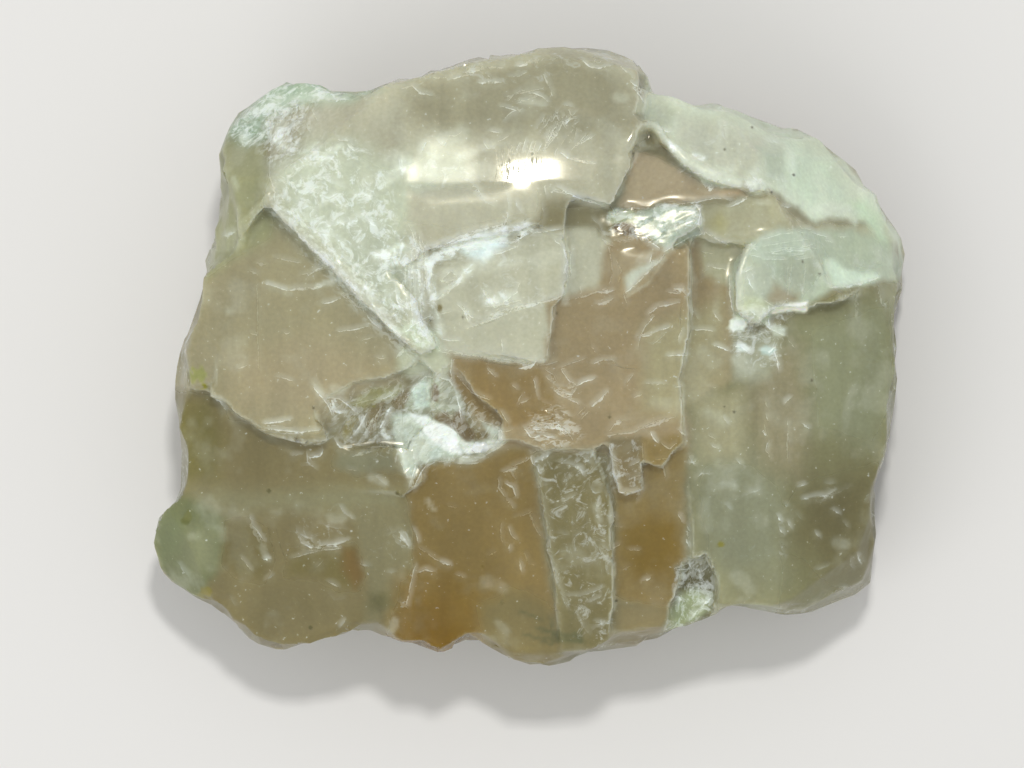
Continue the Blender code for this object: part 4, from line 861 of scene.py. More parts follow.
        (0.85, 0.28, (-9.2, 5.7), (-8.2, 6.4), (-7.4, 7.2), (-6.8, 8), (-6.2, 8.7)),
        (0.4, 0.5, (-7, 7.6), (-6, 8.8)), (0.7, 0.14, (-8.8, 7.5), (-8.2, 7.4), (-7.6, 7.7)),
        (0.9, 0.16, (-8.3, 8.3), (-8.1, 8.3)), (0.6, 0.55, (-4.2, 5.4), (-2.6, 6.1), (-1.8, 6.3)),
        (1, 0.28, (-4, 4.2), (-2.6, 4.6), (-1.2, 5.1)), (0.95, 0.18, (-1.4, 5), (0.2, 5.3), (1, 5.5)),
        (1, 0.18, (1.4, 5.5), (2.2, 5.8), (2.9, 6)), (0.6, 0.28, (-4.6, 6.6), (-3.8, 5.3)),
        (-0.5, 0.07, (-5.8, 2.9), (-4.6, 3.3), (-3.2, 3.8)),
        (0.7, 0.09, (-7.1, 5.1), (-6.6, 4.6), (-6.2, 3.7)),
        (0.7, 0.12, (-6.6, 4.9), (-5.9, 4), (-5.2, 3.8)), (0.5, 0.09, (-8.9, 4.3), (-8, 4.5)),
        (0.5, 0.1, (-8.8, 1.9), (-8, 1.7), (-7.1, 1.7)), (0.4, 0.16, (-2.9, 1.6), (-2.8, 0.9)),
        (0.7, 0.08, (3.3, 10.6), (3.5, 9.6), (3.3, 8.6), (3.6, 7.8), (3.4, 7)),
        (0.7, 0.08, (3.9, 10.7), (3.8, 9.5), (3.9, 8.2)), (0.9, 0.16, (3.4, 10.5), (3.7, 10.4)),
        (0.6, 0.08, (3.4, 9.2), (3.9, 8.8)),
        (0.8, 0.14, (3.7, 5.7), (4.3, 5.8), (5.4, 6.1), (6.6, 6.6), (7.2, 6.8)),
        (0.9, 0.12, (4.8, 6.8), (4.9, 6.5)),
        (0.85, 0.1, (-8.9, 0.6), (-7, 0.4), (-5, 0.1), (-3, -0.3), (-1, -0.45), (0.2, -0.4)),
        (-0.7, 0.09, (-7.8, 0), (-5, -0.2), (-3, -0.6), (-1, -0.8)), (-0.35, 0.4, (-8.6, 4), (-7.4, 4.2)),
        (0.9, 0.16, (-9.9, 2.6), (-9.4, 1.8), (-9, 0.9)), (0.6, 0.24, (-13.1, 0.2), (-12.6, 0.8)),
        (0.5, 0.1, (-3.4, 5), (-1.4, 6.4), (-1.2, 7.2)), (0.3, 0.8, (0.4, 9.4), (2, 10)),
    ],
    "flake": [
        (0.95, 0.14, (9.3, 6.5), (10.2, 7.2), (11.2, 8.2), (12, 9), (12.9, 10)),
        (0.35, 0.5, (10.4, 9.4), (11.4, 10.2)), (0.9, 0.16, (11.6, 9.5), (11.7, 9.9)),
        (0.6, 0.12, (7.6, 10.8), (7.8, 9.6), (7.9, 8.4), (7.7, 7.4)),
        (0.8, 0.2, (6.4, 6.5), (7.2, 6.4), (7.9, 6.6)), (1, 0.26, (6.6, 5.3), (7.2, 5.4), (7.8, 5.7)),
        (0.7, 0.1, (9.1, 6.3), (9.3, 5.4)), (1, 0.2, (7.1, 11.5), (7.5, 11.2), (7.9, 11)),
        (0.8, 0.26, (8.3, 11.5), (9.4, 11.4)), (0.8, 0.26, (9.2, 12.4), (10, 11.9)),
        (0.9, 0.26, (7.8, 13.7), (8.1, 14.1)), (0.6, 0.35, (8.6, 14.1), (9.8, 13.8)),
        (0.8, 0.08, (7.7, 13.4), (7.8, 14.2), (8.6, 14.4)), (0.4, 0.12, (8.6, 7.6), (8.8, 8.6), (8.4, 9.4)),
        (0.9, 0.12, (13.2, 10.5), (14.4, 11.2), (15.6, 11.9), (16.7, 12.2)),
        (0.9, 0.12, (12.4, 10.8), (11.6, 11.4), (10.8, 12.2)),
        (0.9, 0.1, (16.2, 14.9), (16.6, 14.1), (16.3, 13.2), (16.8, 12.3)),
        (0.8, 0.2, (17.2, 12.3), (18, 11.8), (19.3, 11.2)), (0.8, 0.14, (10.2, 14.4), (10.6, 14.3)),
    ],
    "centreRight": [
        (0.8, 0.12, (17, 10.4), (17.7, 10.3)), (0.9, 0.12, (17.5, 9), (18.2, 8.9), (19, 8.8)),
        (0.6, 0.08, (17.2, 8.6), (18, 9)), (0.7, 0.12, (12, 8.9), (12.9, 9.9)),
        (0.9, 0.26, (14.2, 6.8), (14.8, 6.7), (15, 6.4)), (0.6, 0.1, (13.6, 6.4), (14.4, 6.3)),
        (-0.8, 0.07, (14.8, 5.2), (14.6, 4.4), (14.6, 3.2)), (0.6, 0.08, (14.7, 2.8), (14.4, 1.8)),
        (0.8, 0.1, (16.1, 2.8), (17, 2.8), (17.8, 2.7)), (0.95, 0.12, (18.2, 1.2), (18.8, 1), (19.2, 0.8)),
        (0.6, 0.12, (18, 4.4), (18.4, 3.8)), (0.7, 0.1, (13.5, 0.2), (14.4, 0.3), (15.2, 0.3)),
        (0.7, 0.1, (17.2, -2.8), (18, -2.9)), (0.8, 0.1, (14.3, -2.8), (14.7, -2.8)),
        (0.6, 0.09, (12.1, -2.5), (12.8, -2.6)),
        (0.7, 0.09, (10.5, 1.2), (10.7, 2.2), (11.2, 3.2), (11.9, 4)),
        (0.8, 0.12, (10.6, 2.1), (11.6, 2.2), (12.4, 2.6), (13.4, 3)),
        (0.7, 0.12, (11.6, 4.4), (12.4, 5), (13.4, 5.2), (14.4, 5.4)),
        (0.6, 0.09, (11.4, -2.5), (12.2, -2.6), (13, -2.6)), (0.8, 0.18, (10.3, -3.8), (10.6, -3.7)),
        (0.4, 0.07, (9.4, -2.4), (9.9, -1.7)), (0.9, 0.1, (6, 1), (6.2, 0.7)),
        (0.5, 0.06, (3.1, -0.8), (4.2, -0.4), (5.1, -0.1)), (0.5, 0.1, (6.2, -0.5), (7, -0.2), (8, -0.2)),
        (-0.5, 0.07, (8.2, -0.6), (9.2, -1), (10.6, -1.1)), (0.4, 0.08, (12, 1.4), (13, 2.2)),
        (0.5, 0.1, (15.9, 4.6), (16.3, 4)), (0.25, 0.4, (15.6, 9.6), (15.8, 6.6), (15.7, 5)),
        (-0.15, 0.5, (16.8, 8), (16.8, 4.6)), (0.2, 0.4, (18.4, 8), (18.4, 5)),
        (0.25, 0.7, (16.8, 0.6), (18, -0.6)), (0.25, 0.8, (12.4, -4.4), (14, -4.8)),
    ],
    "darkWindow": [
        (0.8, 0.09, (-7.2, -1.9), (-6.4, -2.8), (-5.8, -3.4), (-4.9, -3.8), (-4.2, -4)),
        (0.7, 0.1, (-7.8, -0.2), (-7.9, -1.2), (-7.8, -2)), (0.7, 0.08, (-4.2, -1.2), (-3.6, -1.8)),
        (0.7, 0.07, (0.3, -2.2), (0.4, -3.2), (0.5, -3.8)), (0.8, 0.09, (-1, -3.7), (-1.3, -4.3)),
        (0.7, 0.15, (-1, -4.4), (-0.5, -4.2)), (0.6, 0.07, (-2.9, -5.4), (-2.4, -6.2)),
        (0.6, 0.07, (-2.8, -7.3), (-2, -7.1)), (0.9, 0.26, (-0.9, -1), (-0.2, -0.9), (0.3, -0.5)),
        (0.7, 0.12, (0.8, -0.7), (1.6, -0.6), (2.4, -0.4)), (0.6, 0.08, (-1.7, -2.8), (-1.5, -3)),
        (0.6, 0.12, (1.2, -4.4), (1.8, -4.6)),
    ],
    "crackles": [
        (0.8, 0.16, (1.6, -2), (2.2, -2.6), (2.7, -3)), (0.95, 0.16, (2.8, -2.8), (3.6, -2.9), (4.4, -2.8)),
        (0.8, 0.09, (1.5, -1.2), (2.2, -1.6), (2.4, -2.2)),
        (0.9, 0.09, (3, -1.2), (3.4, -1.8), (3.8, -2.3), (4.4, -2.6)),
        (0.9, 0.1, (4.4, -2.8), (5.2, -2.3), (6.1, -2.1)),
        (0.8, 0.14, (2, -3), (2.8, -3.6), (3.6, -4), (4.5, -4.4)),
        (0.7, 0.09, (3.2, -3.4), (4, -3.6), (4.3, -3.2)),
        (0.7, 0.22, (6.1, -4.6), (6.8, -4.1), (7.4, -3.4)), (0.6, 0.08, (5, -5.9), (5.5, -5.3)),
        (0.6, 0.08, (4.6, -5.5), (5.1, -5)), (0.95, 0.14, (0.2, -6.2), (1, -6.1), (1.8, -5.9), (2.4, -5.6)),
        (0.85, 0.2, (0.4, -7), (1.4, -6.9), (2.4, -6.8), (3.4, -7.2)),
        (0.7, 0.08, (2.2, -6), (3, -6.8), (3.8, -7.6)), (0.7, 0.08, (1.4, -6.2), (2.6, -7), (3.4, -7.6)),
        (0.85, 0.15, (0.2, -7.8), (1.2, -7.6), (2.2, -7.9)), (0.9, 0.12, (-0.6, -7), (0, -7.8)),
        (0.7, 0.08, (0, -6.6), (1.2, -6.5), (2.6, -6.4)), (0.8, 0.12, (3.6, -7.4), (4, -7.9)),
        (0.9, 0.24, (0.4, -10.2), (1, -10), (1.6, -9.6)), (0.8, 0.12, (0, -9.4), (0.8, -9), (1.6, -8.9)),
        (0.8, 0.12, (-0.1, -9.4), (0, -10), (0.2, -10.4)),
        (0.6, 0.1, (-1.8, -10.6), (-1, -10.3), (-0.3, -10)), (0.8, 0.22, (-2, -11.2), (-1.7, -11.7)),
        (0.6, 0.16, (-2.6, -11.2), (-1.6, -10.9)), (0.8, 0.12, (-3.2, -12), (-3.2, -12.8), (-2.7, -13.5)),
        (0.6, 0.16, (-2.4, -12.4), (-1.8, -12.7), (-1.6, -13.4)), (0.8, 0.2, (-2.3, -14.1), (-1.9, -14.6)),
        (0.8, 0.1, (-1.5, -15.7), (-0.8, -15.5), (-0.1, -15.2)),
    ],
    "scoop": [
        (1, 0.5, (-12, -6), (-10, -6.8), (-8.4, -7.8)), (1, 0.35, (-9.4, -6.6), (-8, -7.2), (-7, -8.2)),
        (0.9, 0.3, (-7, -8.4), (-5.4, -8.6), (-3.8, -8.2)),
        (-0.75, 0.1, (-7.7, -9.7), (-6.6, -9.4), (-5.2, -9.4), (-4, -9), (-3.2, -8.3)),
        (0.8, 0.16, (-10, -10), (-9, -10.2), (-8, -10)),
        (0.8, 0.14, (-7.4, -10.3), (-6.2, -10.4), (-5.2, -10.3)),
        (0.7, 0.35, (-7, -9.9), (-5.6, -9.8), (-4.8, -9.6)),
        (0.8, 0.14, (-4.4, -9.5), (-3.4, -8.9), (-2.6, -8.4)),
        (0.8, 0.12, (-7.9, -2.4), (-7.4, -3.6), (-7, -4.8), (-6.9, -6.2)),
        (0.7, 0.12, (-8.6, -5.4), (-7.8, -6), (-7.4, -6.9), (-7, -8)),
        (0.7, 0.09, (-6.2, -5.2), (-5.8, -6.2), (-5, -7.4)),
        (0.9, 0.1, (-4.9, -6.2), (-3.9, -6.6), (-2.9, -7), (-2.9, -7.8)),
        (0.9, 0.1, (-3.8, -7.9), (-3.4, -7.4), (-3, -7)), (-0.6, 0.25, (-6.4, -6.6), (-6, -7.4)),
        (-0.5, 0.14, (-9.6, -3.4), (-9.6, -4.4), (-9.2, -5)), (-0.5, 0.12, (-11, -3.4), (-10.4, -4)),
        (0.95, 0.14, (-12.4, -4.2), (-11.4, -2.8), (-10.4, -1.8), (-9.6, -1.9)),
        (0.9, 0.14, (-8.8, -2), (-8, -2.2), (-7.6, -3)), (0.5, 0.35, (-12.4, -10.4), (-12, -12)),
        (0.8, 0.12, (-11.6, -9.4), (-11.4, -10.8), (-12, -12.4)),
        (0.7, 0.1, (-10.4, -10.6), (-11, -11.6), (-11.6, -12.8)),
        (0.7, 0.1, (-12.6, -9.4), (-12.8, -10.4), (-12.2, -11.6)),
    ],
    "feathers": [
        (0.8, 0.28, (-19.6, -4.2), (-19.2, -5.2), (-18.4, -5.4)),
        (0.8, 0.1, (-21.3, -3), (-20.6, -3.8), (-20, -4.6), (-19.6, -5.5)),
        (0.7, 0.12, (-20, -3.9), (-18.9, -4), (-18, -4.6), (-17.4, -5.2)),
        (0.35, 0.5, (-21.4, -2.4), (-20.8, -3.2)), (0.3, 0.5, (-19.6, -3), (-18.6, -3.2)),
        (0.8, 0.14, (-17.2, -5), (-16.9, -5.8), (-16.8, -6.2)),
        (0.8, 0.16, (-16.2, -5.4), (-16.6, -6.4), (-17.4, -7.4)),
        (0.9, 0.2, (-15.6, -6), (-16.2, -7.2), (-17, -8.2)),
        (0.8, 0.12, (-14.9, -5), (-15.4, -6), (-15.6, -6.8)),
        (0.9, 0.2, (-13.8, -4.8), (-14.4, -5.8), (-14.8, -6.8)),
        (0.8, 0.16, (-13.2, -4.4), (-12.8, -3.8), (-12.6, -3.2)),
        (0.7, 0.12, (-14.6, -7), (-15.4, -7.8), (-16.4, -8.4)),
        (-0.7, 0.22, (-18, -6.8), (-17.4, -6), (-17, -5.4)),
        (-0.6, 0.2, (-15.2, -6.4), (-14.9, -5.6), (-14.4, -4.6)),
        (-0.7, 0.3, (-13.7, -4.6), (-13, -3.8), (-12.7, -3.4)), (-0.5, 0.16, (-16.2, -5), (-15.6, -4.6)),
        (1, 0.28, (-20, -7.4), (-19.4, -7.2), (-19, -6.8)),
        (0.7, 0.28, (-18.6, -8), (-17.6, -8.3), (-16.8, -8.6)),
        (0.8, 0.12, (-19.4, -8), (-18.8, -8.8), (-17.8, -8.8)),
        (0.8, 0.1, (-21.2, -8.2), (-20.2, -8.1), (-19.6, -7.8)),
        (0.7, 0.12, (-24.2, -8), (-23, -8.2), (-22.2, -8.4)), (0.7, 0.14, (-23.4, -7.7), (-22.4, -7.5)),
        (0.8, 0.14, (-22.1, -9.4), (-22, -10.2), (-21.4, -10.8)),
        (0.8, 0.16, (-21.9, -9.8), (-20.8, -9.6), (-20.6, -9.2)),
        (0.6, 0.12, (-22.4, -10.6), (-21.7, -10.5)), (0.5, 0.12, (-23.4, -9.6), (-22.8, -9.5)),
        (0.6, 0.26, (-17.4, -9.6), (-15.8, -9.2)), (0.8, 0.12, (-17.9, -11), (-17.4, -11.1)),
        (0.5, 0.5, (-15.6, -11.8), (-14.6, -12.3)), (0.9, 0.1, (-15.2, -11.8), (-14.4, -12.4)),
        (0.7, 0.35, (-14.6, -7.4), (-13.8, -8.4)), (0.6, 0.1, (-15.8, -8.2), (-14.8, -8.2), (-14, -7.6)),
        (0.6, 0.1, (-16.4, -3.4), (-15.6, -3), (-14.8, -2.9)),
        (0.6, 0.12, (-14.6, -4), (-13.9, -3.7), (-13.4, -3.3)),
        (0.6, 0.12, (-17.6, -4.6), (-16.6, -4.3), (-15.6, -4.1)),
    ],
    "leftLow": [
        (0.5, 0.3, (-27.8, -16.4), (-27.5, -17), (-27, -18)),
        (0.9, 0.1, (-27.8, -15.8), (-27.6, -16.6), (-27, -17.2), (-26.5, -18)),
        (0.45, 0.35, (-26.6, -18.6), (-26.2, -19.9)), (0.9, 0.14, (-26.3, -19.9), (-26, -19.9)),
        (0.9, 0.11, (-26.1, -21.9), (-25.7, -21.6)),
        (0.5, 0.07, (-28.7, -19.9), (-28.2, -20.5), (-27.9, -20.9)),
        (-0.35, 0.18, (-26, -16.6), (-25.6, -18.4), (-25, -20.4)),
        (-0.35, 0.15, (-25.2, -17), (-24.8, -18.6), (-24.2, -20.2)),
        (0.8, 0.14, (-18.8, -14.8), (-18.4, -15.4), (-17.8, -15.8)),
        (0.95, 0.12, (-20.7, -16.4), (-19.6, -16.7), (-18.5, -16.9)),
        (0.6, 0.28, (-22.8, -17.4), (-21.8, -17.8), (-21.4, -18.4)),
        (0.7, 0.16, (-22.8, -18.2), (-21.8, -18.7), (-20.9, -18.8)),
        (0.9, 0.16, (-20.8, -18.5), (-19.4, -18.4), (-18.2, -18)),
        (0.6, 0.1, (-23.4, -19.7), (-22, -19.3), (-20.6, -19), (-19, -18.8)),
        (0.5, 0.3, (-23.2, -17), (-22.8, -18)), (0.35, 0.5, (-20, -15.8), (-18.6, -15.8)),
        (0.7, 0.14, (-20, -22.2), (-19.6, -22.3), (-19.3, -22.5)),
        (0.5, 0.1, (-21.1, -20.5), (-20.8, -20.2)), (0.4, 0.12, (-29.8, -23.9), (-29.5, -24.4)),
        (0.7, 0.16, (-18.7, -26.4), (-18.5, -26.1)), (0.4, 0.1, (-20, -23.4), (-19.4, -24), (-18.6, -23.8)),
        (0.6, 0.22, (-16.7, -20.4), (-16.2, -20.5)),
        (0.8, 0.3, (-12.9, -17.4), (-12.6, -17.9), (-12.2, -18.4)),
        (0.9, 0.12, (-13.9, -17), (-13.4, -18), (-12.7, -18.7), (-11.9, -18.8)),
        (0.6, 0.12, (-14, -17.4), (-13.2, -17)), (0.5, 0.14, (-35, -20.6), (-34.4, -21.4)),
        (0.4, 0.16, (-13.9, -21.2), (-13.7, -21.2)),
        (0.9, 0.1, (-11.5, -20.6), (-11.8, -21.8), (-12.1, -23.2), (-12.3, -24.4)),
        (0.4, 0.26, (-12.9, -24.2), (-12.4, -24.6)), (0.4, 0.4, (-13.4, -26), (-14, -27)),
        (-0.3, 0.6, (-15.6, -24.2), (-14.8, -24.6)),
    ],
    "lowerMiddle": [
        (0.7, 0.1, (-11.6, -17), (-11.3, -17.6), (-11.2, -18)),
        (0.9, 0.12, (-11, -18.8), (-10.4, -19.2), (-9.8, -19.6), (-9.2, -20)),
        (0.95, 0.2, (-8.9, -20.2), (-8.2, -20.4)), (0.6, 0.14, (-11, -21.1), (-10.4, -20.9), (-9.8, -21.1)),
        (0.4, 0.1, (-7.2, -21.5), (-6.8, -21.6)), (0.5, 0.35, (-10.2, -14), (-9.7, -14.7)),
        (0.5, 0.1, (-8, -14.6), (-7.6, -14.7)), (0.4, 0.07, (-3, -16.4), (-3, -17.6), (-2.9, -18)),
        (0.5, 0.08, (-2.2, -16.8), (-1.9, -17.6), (-1.6, -17.8)), (0.7, 0.08, (-2.2, -18.6), (-2.2, -18.8)),
        (0.6, 0.12, (-0.6, -19.4), (-0.4, -20), (-0.2, -20.4), (0.1, -20.4)),
        (0.5, 0.16, (-1.1, -20.2), (-1, -20.9)), (0.5, 0.14, (-4, -19.4), (-3.6, -19.2)),
        (0.25, 0.6, (-4.4, -22), (-2.6, -22.6)), (0.35, 0.5, (-3.2, -26.4), (-2.4, -27)),
        (0.7, 0.1, (0.1, -16), (0.4, -16.8), (0.8, -17.4)), (0.4, 0.3, (-0.2, -15.4), (0.2, -16)),
        (-0.25, 0.4, (-6, -12.4), (-4, -12.2)),
    ],
    "slab": [
        (0.9, 0.12, (0.7, -10.8), (0.8, -11.2)), (0.6, 0.14, (0.8, -12.7), (1.4, -12.5)),
        (0.6, 0.28, (3.2, -10.4), (4.2, -10.6)), (0.9, 0.2, (4, -10.6), (4.8, -10.9), (5, -11.3)),
        (0.5, 0.12, (5, -9.6), (5.6, -10.2)), (0.8, 0.12, (3.5, -12.1), (3.9, -11.8)),
        (0.8, 0.16, (5.9, -12.9), (6.3, -13.3), (6.7, -13.2)), (0.5, 0.12, (7.3, -13.3), (7.8, -13.6)),
        (0.95, 0.14, (3.4, -14), (3.8, -13.8), (4.2, -13.6)),
        (0.5, 0.09, (2.8, -17.3), (3.6, -17.4), (4.4, -17.5), (4.8, -17.2)),
        (0.9, 0.16, (7.1, -18.6), (7.6, -19), (8.2, -18.7), (8.6, -18.5)),
        (0.6, 0.2, (6.7, -18.8), (7.2, -19.4)), (0.9, 0.16, (7.3, -20.2), (7.4, -20.9)),
        (0.6, 0.12, (7.6, -21.2), (7.9, -21.4)),
        (0.9, 0.12, (3.7, -23.5), (4.8, -23.5), (6, -23.1), (7, -22.7)),
        (0.5, 0.12, (5.9, -24), (6.8, -23.6)), (0.9, 0.28, (6.3, -26.7), (6.9, -26.4), (7.4, -26.2)),
        (0.6, 0.12, (6.5, -26.1), (7.6, -26.2)),
        (0.4, 0.14, (1.6, -18), (2, -20), (2.6, -22.4), (3.2, -24)),
        (0.35, 0.12, (2.2, -20.6), (2.8, -22.6), (3.4, -24.4)), (0.2, 0.26, (4, -15.4), (4.2, -19)),
        (0.2, 0.22, (5.4, -14.6), (5.6, -18)), (0.2, 0.26, (6.4, -14.4), (6.8, -17)),
        (0.25, 0.3, (4.4, -25), (5.6, -27)), (0.5, 0.1, (7.9, -15.8), (8, -15.4), (8.2, -15.6)),
        (0.6, 0.12, (8.3, -16.6), (8.8, -16.7)), (0.3, 0.16, (1.2, -14), (1.6, -16.4), (2, -18)),
        (0.3, 0.4, (6.2, -14.6), (6.6, -16)),
    ],
    "block": [
        (0.9, 0.12, (7.6, -7.6), (9, -7.4), (10, -7.3), (11, -6.8), (12, -6.3), (13, -6), (14, -5.8)),
        (0.8, 0.22, (11, -6.9), (12.2, -6.5), (13.6, -6)), (0.7, 0.28, (8.2, -6.5), (8.8, -6.3)),
        (0.7, 0.1, (7.8, -7), (8.4, -6.1), (9.4, -6.2)), (0.7, 0.16, (7.7, -8.8), (7.9, -10), (8.2, -11.6)),
        (0.9, 0.14, (8, -11), (8.2, -12), (8.5, -12.8)),
        (1, 0.22, (8.8, -13.2), (9.6, -13.3), (10.5, -13.1)),
        (0.5, 0.12, (10.9, -8.6), (11, -10.6), (11, -12.8)),
        (0.8, 0.16, (9.7, -11.9), (10.3, -11.6), (10.8, -11.5)), (0.6, 0.1, (10, -10.5), (10.5, -10.2)),
        (0.5, 0.2, (10.6, -13.2), (10.4, -13.8)), (0.95, 0.14, (11.8, -7.5), (12, -7.9), (12.3, -8.2)),
        (0.6, 0.09, (12.8, -8.4), (13.6, -8.9), (14.2, -8.4)), (0.5, 0.1, (12.4, -10), (13.2, -9.9)),
        (0.6, 0.14, (14.6, -7.2), (15, -7.5)), (0.5, 0.12, (15.6, -9.8), (16, -10.4)),
        (0.6, 0.12, (9.8, -19), (10.5, -19)), (0.7, 0.14, (11.2, -22), (11.6, -21.8)),
        (0.5, 0.1, (9.2, -20.8), (9.6, -20.6)), (0.35, 0.16, (13, -10.6), (13.2, -11.6)),
        (0.35, 0.1, (7.8, -9), (8.4, -12)),
    ],
    "arch": [
        (0.5, 0.3, (20.2, 8.4), (20.8, 10), (22, 11.2)),
        (0.9, 0.08, (25.2, 10.5), (26.4, 10.6), (27.4, 10.7)), (0.8, 0.08, (25.6, 10.1), (26.8, 10.3)),
        (0.8, 0.08, (27, 11), (27.8, 11.3)), (0.7, 0.08, (23.2, 10.3), (24.8, 10.2)),
        (0.6, 0.08, (22.8, 9.7), (25, 9.7)), (0.6, 0.07, (26.2, 9.7), (27.4, 9.9)),
        (0.6, 0.07, (24.6, 10.9), (26, 10.9)), (0.5, 0.07, (21.4, 10.2), (22.6, 9.9)),
        (0.6, 0.22, (30.6, 12), (31, 12)), (0.5, 0.16, (29.3, 11.6), (29.6, 11.5)),
        (1, 0.3, (23.9, 4.6), (24.8, 4.7), (25.8, 4.9), (27, 5.1)),
        (0.95, 0.2, (23.3, 5), (23.4, 4.2), (23.5, 3.2)), (0.7, 0.5, (21.8, 4.8), (22.8, 4.4)),
        (0.9, 0.18, (21.6, 4.6), (22.6, 3.8), (23.6, 2.9), (24.8, 2.3)),
        (1, 0.4, (19.8, 2.9), (20.1, 3.5), (20.7, 3.6)), (0.6, 0.3, (20.9, 3.2), (21.4, 3.6)),
        (0.6, 0.08, (20, 2.6), (21.4, 2.7), (22.6, 2.9)), (-0.6, 0.08, (20.4, 2.9), (21.6, 3), (22.4, 3.2)),
        (0.5, 0.08, (20, 2.2), (21.4, 2.1), (22.4, 2.3)),
        (-0.5, 0.12, (19.8, 1.8), (21.2, 1.7), (22.4, 1.9)),
        (0.95, 0.15, (20.1, 1.2), (20.8, 1.1), (21.3, 0.7)), (1, 0.15, (22.5, 2.3), (23, 2.7), (23.2, 2.3)),
        (0.95, 0.22, (22.8, 0.7), (23.4, 0.6), (23.9, 1)), (0.4, 0.8, (20.4, -0.2), (21.6, -1)),
        (0.6, 0.16, (25.5, 1.6), (25.9, 1.1)), (0.6, 0.1, (24, 0.6), (24.3, -0.2), (24.4, -1)),
        (0.6, 0.12, (19.5, 8), (19.6, 6), (19.9, 4.4)), (0.8, 0.12, (21.3, 7.8), (21.5, 7.2), (21.7, 6.9)),
        (0.8, 0.08, (20.6, 8.3), (21.5, 8.7)), (0.3, 0.2, (25.6, 9), (25.4, 7.4), (25.2, 6)),
        (0.25, 0.2, (27, 9), (26.8, 7), (26.6, 5.8)), (-0.25, 0.16, (25, 8.8), (25, 7.2)),
        (0.35, 0.3, (28.2, 8), (27.8, 6.4)), (0.6, 0.1, (23, 5.6), (23.6, 5.2), (24.4, 4.9), (25, 5.6)),
        (0.6, 0.2, (29.6, 7), (31.4, 7.1), (33, 7.5), (34.4, 8)), (0.5, 0.16, (33.6, 8.8), (34.5, 9.6)),
        (0.3, 0.5, (34.2, 11), (35.4, 9.6)), (-0.3, 0.3, (29.8, 13.4), (31.4, 13.3)),
        (0.8, 0.16, (21.6, 11.2), (22, 10.7)), (-0.4, 0.4, (25.6, 13.2), (24.2, 13)),
    ],
    "rightFace": [
        (0.35, 0.3, (32.2, 6.2), (32.2, 4)), (0.5, 0.2, (34.4, 7.4), (34.8, 5.4)),
        (0.5, 0.3, (35.4, 5.6), (35.2, 5)), (0.9, 0.12, (25.2, -4.3), (25.5, -4)),
        (0.5, 0.08, (25.3, -6.4), (25.3, -7.4), (25.4, -8.2)), (0.5, 0.22, (27, -6.6), (27.3, -6.8)),
        (0.4, 0.08, (23, -6.6), (23.2, -7.6)), (0.25, 0.7, (17.2, -5.4), (18.4, -5.7)),
        (0.9, 0.12, (15.6, -10.3), (16, -10.2)), (0.9, 0.1, (16.4, -11.7), (16.7, -11.3), (17.5, -11.4)),
        (0.7, 0.12, (21.8, -13.2), (22.3, -13.1)), (0.4, 0.08, (21.2, -13.5), (22.6, -12.9)),
        (0.75, 0.22, (27.1, -13.9), (28.2, -13.7), (29.2, -13.6), (30, -13.2)),
        (0.6, 0.1, (28.6, -14.3), (29.6, -13.8), (30.6, -13.2), (31.6, -12.8)),
        (0.4, 0.4, (19, -12.4), (20, -12.6)), (0.5, 0.26, (29.4, -12.4), (29.8, -12.4)),
        (0.95, 0.14, (15.4, -17.2), (15.5, -17.9)),
        (0.9, 0.14, (14.3, -20.7), (14.9, -20.5), (15.5, -20.3)), (0.8, 0.1, (14.4, -20.9), (15.4, -20.9)),
        (0.8, 0.12, (15.6, -20.2), (15.8, -20.8)), (0.8, 0.12, (17, -21), (17.4, -20.7)),
        (0.6, 0.16, (17, -19.5), (17.3, -19.7)), (1, 0.3, (17.2, -24.3), (17.6, -23.9)),
        (0.9, 0.3, (14.7, -24.2), (14.7, -23.8)), (0.9, 0.22, (15.9, -25.8), (16.3, -25.2)),
        (0.8, 0.28, (16.7, -23.4), (17, -23.8)), (0.7, 0.14, (13.4, -26.8), (14.2, -26.5)),
        (-0.35, 0.5, (15.4, -22), (16.8, -22.2)), (0.5, 0.12, (28.5, -20.9), (29.2, -20.6)),
        (0.7, 0.1, (31.7, -20), (31.9, -20.6)), (0.4, 0.12, (31, -16.3), (31.3, -16.6)),
        (0.7, 0.3, (30.9, -22.9), (31.3, -23.2)), (0.3, 0.5, (30.2, -18.4), (31.2, -18.4)),
        (0.4, 0.14, (32.6, -19.8), (32.9, -20.1)), (0.6, 0.2, (33.4, -13.6), (33.2, -13.9)),
        (0.6, 0.08, (25.1, -14.5), (25.2, -14.6)), (0.5, 0.12, (26.4, -15.5), (26.7, -15.8)),
        (0.6, 0.08, (24.6, -18.4), (24.8, -18.9), (25, -19.5)), (0.25, 0.5, (22, -24.6), (24, -24.9)),
        (0.3, 0.8, (20.4, -21.6), (21.6, -22.6)), (0.2, 0.7, (17, -14.4), (17.2, -16.6)),
        (-0.2, 0.7, (15.7, -11), (15.6, -12.8)),
    ],
}

# the ledge share mottles the ledge walls white, over their painted light
frostLook = {"ledge": 0.6, "mark": 0.85, "markFrom": 0.12, "markOver": 0.45, "side": 0.5}

